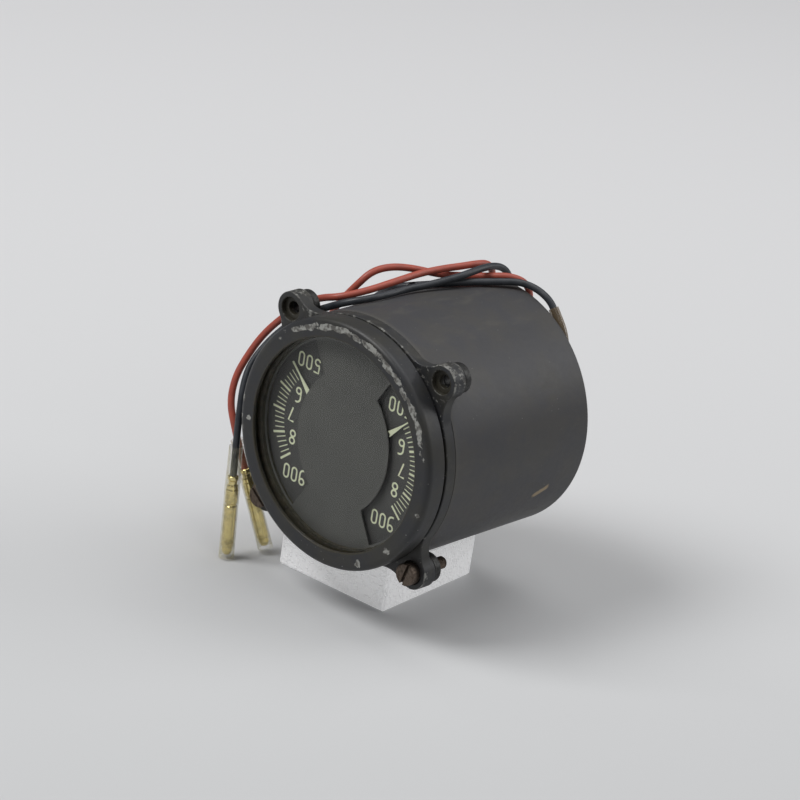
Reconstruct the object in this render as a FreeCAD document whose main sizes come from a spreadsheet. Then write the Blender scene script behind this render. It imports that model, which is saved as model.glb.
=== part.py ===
import FreeCAD, Part
import Sketcher
import math
import os
import re

# Exhaust gas temperature gauge with two pointers, as an assembly in millimetres.
# The origin is the centre of the four mounting lugs on their front (seating) face.
# +X is to the right, +Y runs from the glass into the case, +Z is up as the gauge lies.

# Driving dimensions, each written once
SIZES = (
    # bezel, glass and the stack that it holds
    ("body_radius", 40.0),
    ("bezel_height", 8.2),
    ("bezel_gap", 1.0),
    ("bezel_wall", 1.6),
    ("bezel_round", 2.2),
    ("bezel_lip", 6.0),
    ("lip_thick", 1.0),
    ("gasket_thick", 0.5),
    ("gasket_width", 2.2),
    ("glass_thick", 1.8),
    ("spacer_thick", 1.3),
    ("spacer_width", 3.2),
    ("mask_thick", 0.4),
    ("dial_gap", 1.3),
    ("dial_thick", 0.8),
    ("spigot_wall", 1.45),
    ("stack_clear", 0.15),
    ("bezel_clear", 0.2),
    ("spigot_gap", 0.2),
    ("snap_thick", 0.8),
    ("snap_depth", 0.3),
    ("snap_back", 3.0),
    ("snap_slit", 3.0),
    ("snap_clear", 0.05),
    # mask windows and pointers
    ("window_edge", 1.2),
    ("pivot_offset", 7.2),
    ("pointer_rest", 44.0),
    ("tip_clear", 0.4),
    ("tip_length", 4.8),
    ("wedge_length", 6.8),
    ("pointer_tip", 0.5),
    ("pointer_wedge", 1.9),
    ("arm_width", 1.5),
    ("tail_reach", 5.6),
    ("tail_width", 2.2),
    ("hub_radius", 1.9),
    ("pointer_thick", 0.3),
    ("pointer_lift", 0.7),
    ("weight_thick", 0.7),
    ("dial_hole_clear", 0.4),
    # flange with its lugs and captive nuts
    ("flange_lip", 2.2),
    ("flange_thick", 4.0),
    ("skirt_length", 5.0),
    ("skirt_clear", 0.15),
    ("lug_overhang", 5.2),
    ("lug_radius", 5.5),
    ("lug_depth", 5.2),
    ("lug_blend", 10.0),
    ("lug_root", 2.0),
    ("lug_hole", 2.15),
    ("lug_sink", 3.75),
    ("sink_depth", 1.6),
    ("nut_radius", 4.8),
    ("nut_thick", 2.7),
    ("nut_slit", 0.7),
    ("nut_neck", 3.0),
    ("neck_depth", 1.5),
    ("neck_clear", 0.05),
    # mounting screws and their washers
    ("screw_radius", 2.0),
    ("screw_head", 3.6),
    ("head_thick", 3.2),
    ("washer_thick", 1.6),
    ("washer_radius", 3.4),
    ("screw_length", 14.7),
    ("slot_width", 0.9),
    ("slot_depth", 1.2),
    ("slot_lean_left", -35.0),
    ("slot_lean_right", 75.0),
    # case shell and terminal board
    ("case_wall", 1.5),
    ("case_length", 67.0),
    ("case_round", 1.0),
    ("case_gap", 0.2),
    ("card_gap", 3.7),
    ("pillar_radius", 2.6),
    ("pillar_inset", 0.2),
    ("board_gap", 0.4),
    ("board_ledge", 3.5),
    ("board_thick", 3.0),
    ("board_screw_inset", 1.6),
    ("board_screw_grip", 2.5),
    # plates and pillars of the movement
    ("plate_gap", 0.7),
    ("plate_thick", 1.5),
    ("card_inset", 10.0),
    ("mid_gap", 3.1),
    ("small_screw", 1.0),
    ("small_head", 1.7),
    ("small_head_thick", 1.1),
    ("case_screw_grip", 4.0),
    ("plate_screw_grip", 3.5),
    ("magnet_screw_grip", 3.0),
    ("tap_spare", 0.5),
    # one movement, measured from the plate that carries it
    ("magnet_radius", 12.5),
    ("magnet_bore", 8.6),
    ("movement_rear", 5.5),
    ("core_radius", 6.2),
    ("core_spare", 7.3),
    ("core_bore", 1.3),
    ("core_start", 3.2),
    ("pin_radius", 1.2),
    ("pin_inner", 3.0),
    ("pin_grip", 1.9),
    ("coil_half", 7.9),
    ("coil_wall", 1.3),
    ("coil_width", 2.4),
    ("coil_start", 1.8),
    ("coil_spare", 4.5),
    ("staff_radius", 0.6),
    ("staff_run", 0.05),
    ("collar_radius", 1.3),
    ("collar_length", 0.7),
    ("collet_spare", 0.15),
    ("staff_end_clear", 0.3),
    ("mid_hole_clear", 0.9),
    ("bush_radius", 1.6),
    ("bush_length", 2.6),
    ("spring_inset", 1.9),
    ("spring_height", 0.8),
    ("spring_strip", 0.2),
    ("spring_pitch", 0.7),
    ("spring_inner", 1.5),
    ("spring_halves", 9),
    ("bridge_length", 23.0),
    ("bridge_width", 6.0),
    ("bridge_thick", 1.5),
    ("magnet_screw_at", 10.5),
    ("jewel_radius", 1.5),
    ("jewel_length", 4.4),
    ("jewel_inside", 0.4),
    ("cup_depth", 1.2),
    ("lever_thick", 0.6),
    ("lever_width", 2.4),
    ("lever_reach", 9.0),
    ("lever_run", 0.05),
    ("lever_hub", 2.9),
    ("finger_radius", 0.35),
    ("finger_clear", 0.1),
    # resistor spools
    ("spool_radius", 4.4),
    ("spool_length", 9.0),
    ("spool_across", 16.0),
    ("spool_up", 10.0),
    ("spool_flange", 1.0),
    ("spool_wind", 3.6),
    # terminals on the board
    ("stud_spread", 4.5),
    ("stud_height", 6.0),
    ("stud_inside", 3.0),
    ("stud_outside", 8.2),
    ("hex_thick", 2.0),
    ("tag_thick", 0.8),
    ("barrel_radius", 1.9),
    ("barrel_length", 5.0),
    ("barrel_start", 4.6),
    # leads and their ends
    ("lead_radius", 1.15),
    ("lead_clear", 0.1),
    ("crimp_radius", 1.75),
    ("crimp_length", 4.5),
    ("plug_radius", 1.95),
    ("plug_length", 22.5),
    ("plug_shoulder", 0.3),
    ("sleeve_radius", 2.5),
    ("sleeve_bore", 2.05),
    ("sleeve_length", 38.0),
    ("sleeve_before", 10.0),
    ("sleeve_top", 2.2),
    ("sleeve_flare", 14.0),
    ("guard_radius", 1.65),
    ("guard_length", 23.5),
    # how far a cutting tool runs past the faces it opens
    ("over", 1.0),
)

# Sizes that follow from others, as expressions
LINKED = {
    "opening_radius": "body_radius - bezel_lip",
    "stack_radius": "body_radius - bezel_wall - bezel_clear - spigot_wall - stack_clear",
    "window_rim": "opening_radius - window_edge",
    "window_middle": "window_rim * 0.582",
    "window_corner": "window_rim * 0.341",
    "window_height": "window_rim * 0.567",
    "window_end": "window_rim * 0.509",
    "pointer_reach": "window_rim - pivot_offset - tip_clear",
    "wedge_end": "pointer_reach - tip_length",
    "wedge_start": "wedge_end - wedge_length",
    "flange_bore": "stack_radius - flange_lip",
    "lug_circle": "2 * (body_radius + lug_overhang)",
    "card_radius": "body_radius - case_wall - card_gap",
    "pillar_circle": "card_radius - pillar_radius - pillar_inset",
    "board_radius": "pillar_circle - pillar_radius - board_gap",
    "board_opening": "board_radius - board_ledge",
    "board_screw_circle": "board_radius - board_screw_inset",
    "plate_radius": "body_radius - case_wall - plate_gap",
    "card_front": "case_length - card_inset",
    "mid_front": "(card_front + flange_thick + skirt_length + 2 * plate_thick) / 2",
    "mid_radius": "body_radius - case_wall - mid_gap",
    "plate_screw_circle": "plate_radius - small_head",
    "magnet_length": "card_front - mid_front - plate_thick - movement_rear",
    "core_length": "magnet_length - core_spare",
    "coil_length": "magnet_length - coil_spare",
    "spring_start": "magnet_length - spring_inset",
    "stud_pitch": "(board_opening + stud_spread) / 3",
    "stud_radius": "stud_pitch * 0.19",
    "hex_across": "stud_pitch * 0.7",
    "tag_radius": "stud_pitch * 0.36",
}

PLATE_SCREWS = 4
FIRST_PLATE_SCREW = 45
PILLARS = 3
FIRST_PILLAR = 270
FIRST_BOARD_SCREW = 90
MAGNET_SCREWS = (("up", "magnet_screw_at"), ("down", "0 - magnet_screw_at"))

doc = FreeCAD.newDocument("temperature_gauge")
sheet = doc.addObject("Spreadsheet::Sheet", "sizes")
for row, (alias, number) in enumerate(SIZES, start=1):
    sheet.set("A%d" % row, alias)
    sheet.set("B%d" % row, str(number))
    sheet.setAlias("B%d" % row, alias)
doc.recompute()

ALIASES = {alias for alias, number in SIZES}
WORD = re.compile("[a-z_]+")
subparts = []
X = FreeCAD.Vector(1, 0, 0)
Y = FreeCAD.Vector(0, 1, 0)
ALONG_Y = FreeCAD.Rotation(X, -90)

# Stations along Y, as expressions of the driving dimensions
BEZEL_FRONT = "(0 mm - bezel_height)"
GASKET_FRONT = "(lip_thick - bezel_height)"
GLASS_FRONT = "(%s + gasket_thick)" % GASKET_FRONT
GLASS_BACK = "(%s + glass_thick)" % GLASS_FRONT
MASK_FRONT = "(%s + spacer_thick)" % GLASS_BACK
MASK_BACK = "(%s + mask_thick)" % MASK_FRONT
DIAL_FRONT = "(%s + dial_gap)" % MASK_BACK
DIAL_BACK = "(%s + dial_thick)" % DIAL_FRONT
POINTER_BACK = "(%s - pointer_lift)" % DIAL_FRONT
POINTER_FRONT = "(%s - pointer_thick)" % POINTER_BACK
PLATE_FRONT = "(flange_thick + skirt_length)"
PLATE_BACK = "(%s + plate_thick)" % PLATE_FRONT
MID_BACK = "(mid_front + plate_thick)"
CARD_BACK = "(card_front + plate_thick)"
BOARD_BACK = "(case_length - case_wall)"
BOARD_FRONT = "(%s - board_thick)" % BOARD_BACK
TAG_FRONT = "(%s + hex_thick)" % BOARD_BACK
TAG_BACK = "(%s + tag_thick)" % TAG_FRONT
LUG_PLACE = "(lug_circle / 2 * sqrt(0.5))"
NUT_FRONT = "(lug_depth + nut_slit)"


def written_out(match):
    """One word of an expression: a linked size in brackets, or an alias pointed at the sheet."""
    word = match.group()
    if word in LINKED:
        return "(%s)" % WORD.sub(written_out, LINKED[word])
    return "sizes." + word if word in ALIASES else word


def cell(expression):
    """An expression in plain numbers that reads the sheet."""
    return WORD.sub(written_out, expression.replace("0 mm", "0"))


def size(name):
    """The number that one size has by the sheet."""
    return float(sheet.evalExpression(cell(name)))


def bind(item, prop, expression):
    item.setExpression(prop, cell(str(expression)))


def place(item, x=0, y=0, z=0, rotation=None):
    """Put an object at a point whose coordinates are expressions."""
    if rotation is not None:
        item.Placement = FreeCAD.Placement(FreeCAD.Vector(0, 0, 0), rotation)
    for letter, expression in zip("xyz", (x, y, z)):
        bind(item, ".Placement.Base." + letter, expression)
    return item


def named(label, item):
    """Keep an object as a sub-part under its own name."""
    item.Label = label
    subparts.append(item)
    return item


def plane(body, role):
    return next(item for item in body.Origin.OriginFeatures if item.Role == role)


def outline(body, name, role, points):
    """A closed sketch of straight edges through points that are pairs of expressions."""
    sketch = body.newObject("Sketcher::SketchObject", name)
    sketch.AttachmentSupport = [(plane(body, role), "")]
    sketch.MapMode = "FlatFace"
    count = len(points)
    reach = size("lug_radius")
    rough = [
        FreeCAD.Vector(2 * reach + reach * math.cos(2 * math.pi * i / count),
                       reach * math.sin(2 * math.pi * i / count), 0)
        for i in range(count)
    ]
    for i in range(count):
        sketch.addGeometry(Part.LineSegment(rough[i], rough[(i + 1) % count]), False)
    for i in range(count):
        sketch.addConstraint(Sketcher.Constraint("Coincident", i, 2, (i + 1) % count, 1))
    for i, (across, along) in enumerate(points):
        number = sketch.addConstraint(Sketcher.Constraint("DistanceX", -1, 1, i, 1, rough[i].x))
        bind(sketch, "Constraints[%d]" % number, across)
        number = sketch.addConstraint(Sketcher.Constraint("DistanceY", -1, 1, i, 1, rough[i].y))
        bind(sketch, "Constraints[%d]" % number, along)
    return sketch


def turned_body(name, points):
    """A body turned about its own Y axis from (radius, station) points."""
    body = doc.addObject("PartDesign::Body", name)
    sketch = outline(body, name + "_profile", "XY_Plane", points)
    turn = body.newObject("PartDesign::Revolution", name + "_turn")
    turn.Profile = sketch
    turn.ReferenceAxis = (sketch, ["V_Axis"])
    turn.Angle = 360
    return body


def turned(name, points, x=0, z=0):
    """A turned body whose axis stands at x, z."""
    return place(turned_body(name, points), x, 0, z)


def ring(name, inner, outer, front, back, x=0, z=0):
    return turned(name, ((inner, front), (outer, front), (outer, back), (inner, back)), x, z)


def disc(name, outer, front, back, x=0, z=0):
    return ring(name, 0, outer, front, back, x, z)


def rod(name, radius, front, length, x=0, z=0):
    """A plain cylinder along Y."""
    item = doc.addObject("Part::Cylinder", name)
    bind(item, "Radius", radius)
    bind(item, "Height", length)
    return place(item, x, front, z, ALONG_Y)


def bore(name, radius, front, length, x=0, z=0):
    """A cutting rod that runs past both ends of what it opens."""
    return rod(name, radius, "%s - over" % front, "%s + over * 2" % length, x, z)


def box(name, wide, deep, tall, x, y, z, rotation=None):
    item = doc.addObject("Part::Box", name)
    bind(item, "Length", wide)
    bind(item, "Width", deep)
    bind(item, "Height", tall)
    return place(item, x, y, z, rotation)


def fuse(name, items):
    joined = doc.addObject("Part::MultiFuse", name)
    joined.Shapes = list(items)
    return joined


def cut(name, base, tools):
    """Take one or more tools away from a base."""
    result = doc.addObject("Part::Cut", name)
    result.Base = base
    result.Tool = tools[0] if len(tools) == 1 else fuse(name + "_tools", tools)
    return result


def group(name, items):
    """Separate solids of one kind, kept together."""
    result = doc.addObject("Part::Compound", name)
    result.Links = list(items)
    return result


def around(count, radius, first=0):
    """Places on a circle about the gauge's axis, as (x, z) expressions."""
    for i in range(count):
        angle = first + 360.0 * i / count
        yield "%s * cos(%s)" % (radius, angle), "%s * sin(%s)" % (radius, angle)


def small_screw(name, tip, head, x, z):
    """Cheese-head screw along +Y or -Y, from its tip to the face under its head."""
    return turned(name, (
        (0, tip),
        ("small_screw", tip),
        ("small_screw", head),
        ("small_head", head),
        ("small_head", "%s + small_head_thick" % head),
        (0, "%s + small_head_thick" % head),
    ), x, z)


def round_edge(body, radius, station, amount):
    """Round the circular edge of a turned body that lies at a radius and a station."""
    doc.recompute()
    base = body.Tip
    names = [
        "Edge%d" % number
        for number, edge in enumerate(base.Shape.Edges, start=1)
        if hasattr(edge.Curve, "Radius")
        and abs(edge.Curve.Radius - radius) < 1e-4
        and abs(edge.Curve.Center.y - station) < 1e-4
    ]
    fillet = body.newObject("PartDesign::Fillet", body.Name + "_round")
    fillet.Base = (base, names)
    bind(fillet, "Radius", amount)
    body.Tip = fillet


def bezel():
    """Cap that holds the glass: a lip, a band and a groove for the snap ring."""
    band = "(body_radius - bezel_wall)"
    groove = "(%s + snap_depth)" % band
    body = turned("bezel_ring", (
        ("opening_radius", BEZEL_FRONT),
        ("body_radius", BEZEL_FRONT),
        ("body_radius", "0 mm - bezel_gap"),
        (band, "0 mm - bezel_gap"),
        (band, "0 mm - snap_back"),
        (groove, "0 mm - snap_back"),
        (groove, "0 mm - snap_back - snap_thick"),
        (band, "0 mm - snap_back - snap_thick"),
        (band, GASKET_FRONT),
        ("opening_radius", GASKET_FRONT),
    ))
    round_edge(body, size("body_radius"), -size("bezel_height"), "bezel_round")
    named("bezel_ring", body)


def glass_stack():
    """Gasket, glass, spacer and distance ring, all centred in the flange's spigot."""
    named("glass_gasket", ring("glass_gasket", "stack_radius - gasket_width", "stack_radius",
                               GASKET_FRONT, GLASS_FRONT))
    named("glass_window", disc("glass_window", "stack_radius", GLASS_FRONT, GLASS_BACK))
    named("glass_spacer", ring("glass_spacer", "stack_radius - spacer_width", "stack_radius",
                               GLASS_BACK, MASK_FRONT))
    named("dial_distance_ring", ring("dial_distance_ring", "stack_radius - spacer_width", "stack_radius",
                                     MASK_BACK, DIAL_FRONT))


def window_shape(side):
    """The solid that opens one window of the mask, on the side of the sign given."""
    middle = FreeCAD.Vector(side * size("window_middle"), 0, 0)
    top = FreeCAD.Vector(side * size("window_corner"), 0, size("window_height"))
    low = FreeCAD.Vector(top.x, 0, -top.z)
    rim = size("window_rim")
    end = side * size("window_end")
    rise = math.sqrt(rim ** 2 - end ** 2)
    top_end = FreeCAD.Vector(end, 0, rise)
    low_end = FreeCAD.Vector(end, 0, -rise)
    edges = [
        Part.Arc(low, middle, top).toShape(),
        Part.LineSegment(top, top_end).toShape(),
        Part.Arc(top_end, FreeCAD.Vector(side * rim, 0, 0), low_end).toShape(),
        Part.LineSegment(low_end, low).toShape(),
    ]
    thick = size("mask_thick")
    front = -size("bezel_height") + size("lip_thick") + size("gasket_thick")
    front += size("glass_thick") + size("spacer_thick")
    face = Part.Face(Part.Wire(edges))
    face.translate(FreeCAD.Vector(0, front - thick, 0))
    return face.extrude(FreeCAD.Vector(0, 3 * thick, 0))


def mask_and_dial():
    """Dial plate with two staff holes, and the raised mask that covers the hubs."""
    windows = []
    for label, side in (("left_window", -1), ("right_window", 1)):
        window = doc.addObject("Part::Feature", label)
        window.Shape = window_shape(side)
        windows.append(window)
    named("mask_plate", cut("mask_plate", disc("mask_disc", "stack_radius", MASK_FRONT, MASK_BACK), windows))
    holes = [
        bore("dial_hole_%s" % word, "collar_radius + dial_hole_clear", DIAL_FRONT, "dial_thick", place_x)
        for word, place_x in (("left", "0 - pivot_offset"), ("right", "pivot_offset"))
    ]
    named("dial_plate", cut("dial_plate", disc("dial_disc", "stack_radius", DIAL_FRONT, DIAL_BACK), holes))


def lug_web(angle):
    """Flat web of one lug: its round end runs into the flange ring through two hollow arcs."""
    reach = size("lug_circle") / 2
    tip = size("lug_radius")
    rim = size("body_radius")
    blend = size("lug_blend")
    across = ((rim + blend) ** 2 - (tip + blend) ** 2 + reach ** 2) / (2 * reach)
    up = math.sqrt((rim + blend) ** 2 - across ** 2)
    centre = FreeCAD.Vector(across, 0, up)
    lug = FreeCAD.Vector(reach, 0, 0)
    on_ring = centre * (rim / (rim + blend))
    on_lug = lug + (centre - lug) * (tip / (tip + blend))
    middle = centre + ((on_ring - centre) + (on_lug - centre)).normalize() * blend

    def mirrored(point):
        return FreeCAD.Vector(point.x, 0, -point.z)

    root = FreeCAD.Vector(rim - size("lug_root"), 0, 0)
    edges = [
        Part.Arc(on_ring, middle, on_lug).toShape(),
        Part.Arc(on_lug, lug + X * tip, mirrored(on_lug)).toShape(),
        Part.Arc(mirrored(on_lug), mirrored(middle), mirrored(on_ring)).toShape(),
        Part.LineSegment(mirrored(on_ring), root).toShape(),
        Part.LineSegment(root, on_ring).toShape(),
    ]
    web = Part.Face(Part.Wire(edges)).extrude(Y * size("flange_thick"))
    web.rotate(FreeCAD.Vector(0, 0, 0), Y, -angle)
    return web


def lug_places():
    """The lug centres with a word for each, as expressions."""
    minus = "0 - %s" % LUG_PLACE
    return (
        ("upper_right", LUG_PLACE, LUG_PLACE, 45),
        ("upper_left", minus, LUG_PLACE, 135),
        ("lower_left", minus, minus, 225),
        ("lower_right", LUG_PLACE, minus, 315),
    )


def flange():
    """Flange ring with a spigot for the bezel, a skirt for the case and four lugs."""
    spigot = "(body_radius - bezel_wall - bezel_clear)"
    groove = "(%s - snap_thick + snap_depth)" % spigot
    skirt = "(body_radius - case_wall - skirt_clear)"
    recess = "(stack_radius + stack_clear)"
    front = "(%s + spigot_gap)" % GASKET_FRONT
    solid = turned("flange_ring", (
        (recess, front),
        (spigot, front),
        (spigot, "0 mm - snap_back - snap_thick"),
        (groove, "0 mm - snap_back - snap_thick"),
        (groove, "0 mm - snap_back"),
        (spigot, "0 mm - snap_back"),
        (spigot, "0 mm"),
        ("body_radius", "0 mm"),
        ("body_radius", "flange_thick"),
        (skirt, "flange_thick"),
        (skirt, PLATE_FRONT),
        ("flange_bore", PLATE_FRONT),
        ("flange_bore", DIAL_BACK),
        (recess, DIAL_BACK),
    ))
    pieces = [solid]
    seat = "(body_radius - case_wall / 2)"
    holes = [ring("case_seat", seat, "body_radius + case_gap", "flange_thick", "lug_depth + over")]
    for word, x, z, angle in lug_places():
        web = doc.addObject("Part::Feature", "lug_web_" + word)
        web.Shape = lug_web(angle)
        pieces.append(web)
        pieces.append(rod("lug_boss_" + word, "lug_radius", 0, "lug_depth", x, z))
        holes.append(bore("lug_hole_" + word, "lug_hole", 0, "lug_depth", x, z))
        holes.append(rod("lug_sink_" + word, "lug_sink", "0 - over", "sink_depth + over", x, z))
        holes.append(rod("lug_back_" + word, "nut_neck + neck_clear", "lug_depth - neck_depth",
                         "neck_depth + over", x, z))
    for number, (x, z) in enumerate(around(PLATE_SCREWS, "plate_screw_circle", FIRST_PLATE_SCREW)):
        depth = "(plate_screw_grip + tap_spare)"
        holes.append(rod("flange_tap_%d" % number, "small_screw + neck_clear",
                         "%s - %s" % (PLATE_FRONT, depth), "%s + over" % depth, x, z))
    named("mounting_flange", cut("mounting_flange", fuse("flange_blank", pieces), holes))


def snap_ring():
    """Split wire ring in the two grooves that keeps the bezel on the flange."""
    outer = "(body_radius - bezel_wall + snap_depth - snap_clear)"
    inner = "(body_radius - bezel_wall - bezel_clear - snap_thick + snap_depth + snap_clear)"
    body = ring("snap_wire", inner, outer, "0 mm - snap_back - snap_thick + snap_clear",
                "0 mm - snap_back - snap_clear")
    slit = box("snap_gap", "snap_slit", "snap_thick * 3", "body_radius",
               "0 - snap_slit / 2", "0 - snap_back - snap_thick * 2", "0 - body_radius - over")
    named("bezel_snap_ring", cut("bezel_snap_ring", body, [slit]))


def nuts_and_screws():
    """Four captive round nuts, and the screws with washers in the two lower lugs."""
    nuts = []
    screws = []
    washers = []
    for word, x, z, angle in lug_places():
        back = "(%s + nut_thick)" % NUT_FRONT
        neck = "(lug_depth - neck_depth + neck_clear)"
        thread = "(screw_radius + neck_clear)"
        nuts.append(turned("nut_" + word, (
            (thread, neck),
            ("nut_neck", neck),
            ("nut_neck", NUT_FRONT),
            ("nut_radius", NUT_FRONT),
            ("nut_radius", back),
            (thread, back),
        ), x, z))
        if word.startswith("upper"):
            continue
        washers.append(ring("washer_" + word, "screw_radius + neck_clear", "washer_radius",
                            "sink_depth - washer_thick", "sink_depth", x, z))
        under = "(sink_depth - washer_thick)"
        top = "(%s - head_thick)" % under
        screw = turned("screw_blank_" + word, (
            (0, top),
            ("screw_head", top),
            ("screw_head", under),
            ("screw_radius", under),
            ("screw_radius", "%s + screw_length" % under),
            (0, "%s + screw_length" % under),
        ), x, z)
        lean = size("slot_lean_right" if word == "lower_right" else "slot_lean_left")
        slot = box("screw_slot_" + word, "screw_head * 2 + over * 2", "slot_depth + over", "slot_width",
                   "0 - screw_head - over", "%s - over" % top, "0 - slot_width / 2")
        turned_slot = group("slot_turned_" + word, [slot])
        place(turned_slot, x, 0, z, FreeCAD.Rotation(Y, -lean))
        screws.append(cut("screw_" + word, screw, [turned_slot]))
    named("captive_nuts", group("captive_nuts", nuts))
    named("screw_washers", group("screw_washers", washers))
    named("mounting_screws", group("mounting_screws", screws))


def case():
    """Case shell over the flange's skirt, and the screws that tie it to the rear pillars."""
    inner = "(body_radius - case_wall)"
    shell = turned("case_cup", (
        (inner, "flange_thick"),
        ("body_radius", "flange_thick"),
        ("body_radius", "case_length"),
        ("board_opening", "case_length"),
        ("board_opening", BOARD_BACK),
        (inner, BOARD_BACK),
    ))
    round_edge(shell, size("body_radius"), size("case_length"), "case_round")
    holes = []
    screws = []
    for number, (x, z) in enumerate(around(PILLARS, "pillar_circle", FIRST_PILLAR)):
        holes.append(bore("case_hole_%d" % number, "small_screw + neck_clear",
                          BOARD_BACK, "case_wall", x, z))
        screws.append(small_screw("case_screw_%d" % number, "%s - case_screw_grip" % BOARD_BACK,
                                  "case_length", x, z))
    named("case_screws", group("case_screws", screws))
    board_screws = []
    for number, (x, z) in enumerate(around(PILLARS, "board_screw_circle", FIRST_BOARD_SCREW)):
        holes.append(bore("board_pass_%d" % number, "small_screw + neck_clear",
                          BOARD_BACK, "case_wall", x, z))
        board_screws.append(small_screw("board_screw_%d" % number, "%s - board_screw_grip" % BOARD_BACK,
                                        "case_length", x, z))
    named("board_screws", group("board_screws", board_screws))
    named("case_shell", cut("case_shell", shell, holes))


def stud_places():
    """The four terminals in one row, each with a word."""
    words = ("red_front", "black_front", "red_rear", "black_rear")
    return [(word, "stud_pitch * %s" % (number - 1.5)) for number, word in enumerate(words)]


def hexagon(name, front, x):
    """Hexagon nut on a stud."""
    item = doc.addObject("Part::Prism", name)
    item.Polygon = 6
    bind(item, "Circumradius", "hex_across / 2 / cos(30)")
    bind(item, "Height", "hex_thick")
    place(item, x, front, "stud_height", ALONG_Y)
    hole = bore(name + "_bore", "stud_radius", front, "hex_thick", x, "stud_height")
    return cut(name + "_cut", item, [hole])


def terminals():
    """Board, studs and nuts at the back of the case."""
    holes = [
        bore("board_hole_" + word, "stud_radius", BOARD_FRONT, "board_thick", x, "stud_height")
        for word, x in stud_places()
    ]
    for number, (x, z) in enumerate(around(PILLARS, "board_screw_circle", FIRST_BOARD_SCREW)):
        depth = "(board_screw_grip + tap_spare / 2)"
        holes.append(rod("board_tap_%d" % number, "small_screw + neck_clear",
                         "%s - %s" % (BOARD_BACK, depth), "%s + over" % depth, x, z))
    board = disc("board_disc", "board_radius", BOARD_FRONT, BOARD_BACK)
    named("terminal_board", cut("terminal_board", board, holes))
    studs = []
    nuts = []
    for word, x in stud_places():
        start = "(%s - stud_inside)" % BOARD_FRONT
        length = "stud_inside + board_thick + stud_outside"
        studs.append(rod("stud_" + word, "stud_radius", start, length, x, "stud_height"))
        nuts.append(hexagon("inner_nut_" + word, "%s - hex_thick" % BOARD_FRONT, x))
        nuts.append(hexagon("base_nut_" + word, BOARD_BACK, x))
        nuts.append(hexagon("top_nut_" + word, TAG_BACK, x))
    named("terminal_studs", group("terminal_studs", studs))
    named("stud_nuts", group("stud_nuts", nuts))


def frame_plates():
    """The plates that carry the movements, with their screws, bushes and pillars."""
    holes = []
    bushes = []
    for word, x in (("left", "0 - pivot_offset"), ("right", "pivot_offset")):
        holes.append(bore("plate_bore_" + word, "bush_radius", PLATE_FRONT, "plate_thick", x))
        bushes.append(ring("bush_" + word, "staff_radius + staff_run", "bush_radius", PLATE_FRONT,
                           "%s + bush_length" % PLATE_FRONT, x))
    named("staff_bushes", group("staff_bushes", bushes))
    screws = []
    for number, (x, z) in enumerate(around(PLATE_SCREWS, "plate_screw_circle", FIRST_PLATE_SCREW)):
        holes.append(bore("plate_hole_%d" % number, "small_screw + neck_clear",
                          PLATE_FRONT, "plate_thick", x, z))
        screws.append(small_screw("plate_screw_%d" % number, "%s - plate_screw_grip" % PLATE_FRONT,
                                  PLATE_BACK, x, z))
    named("plate_screws", group("plate_screws", screws))
    staff_hole = "staff_radius + mid_hole_clear"
    middle_holes = [bore("middle_hole", staff_hole, "mid_front", "plate_thick", "pivot_offset")]
    magnet_screws = []
    for word, x, front, back, through in (
        ("left", "0 - pivot_offset", PLATE_FRONT, PLATE_BACK, holes),
        ("right", "pivot_offset", "mid_front", MID_BACK, middle_holes),
    ):
        for name, up in MAGNET_SCREWS:
            through.append(bore("magnet_pass_%s_%s" % (name, word), "small_screw + neck_clear",
                                front, "plate_thick", x, up))
            tip = "%s + magnet_screw_grip" % back
            magnet_screws.append(turned("magnet_screw_%s_%s" % (name, word), (
                (0, "%s - small_head_thick" % front),
                ("small_head", "%s - small_head_thick" % front),
                ("small_head", front),
                ("small_screw", front),
                ("small_screw", tip),
                (0, tip),
            ), x, up))
    named("magnet_screws", group("magnet_screws", magnet_screws))
    front_disc = disc("front_plate_disc", "plate_radius", PLATE_FRONT, PLATE_BACK)
    named("front_plate", cut("front_plate", front_disc, holes))
    middle_disc = disc("middle_plate_disc", "mid_radius", "mid_front", MID_BACK)
    named("middle_plate", cut("middle_plate", middle_disc, middle_holes))
    named("resistor_card", disc("resistor_card", "card_radius", "card_front", CARD_BACK))
    spans = (
        ("front_pillars", PLATE_BACK, "mid_front"),
        ("middle_pillars", MID_BACK, "card_front"),
        ("rear_pillars", CARD_BACK, BOARD_BACK),
    )
    for label, front, back in spans:
        pillars = []
        for number, (x, z) in enumerate(around(PILLARS, "pillar_circle", FIRST_PILLAR)):
            pillar = rod("%s_%d" % (label, number), "pillar_radius", front, "%s - %s" % (back, front), x, z)
            if label == "rear_pillars":
                depth = "(case_screw_grip + tap_spare)"
                tap = rod("pillar_tap_%d" % number, "small_screw + neck_clear",
                          "%s - %s" % (back, depth), "%s + over" % depth, x, z)
                pillar = cut("tapped_pillar_%d" % number, pillar, [tap])
            pillars.append(pillar)
        named(label, group(label, pillars))


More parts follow.
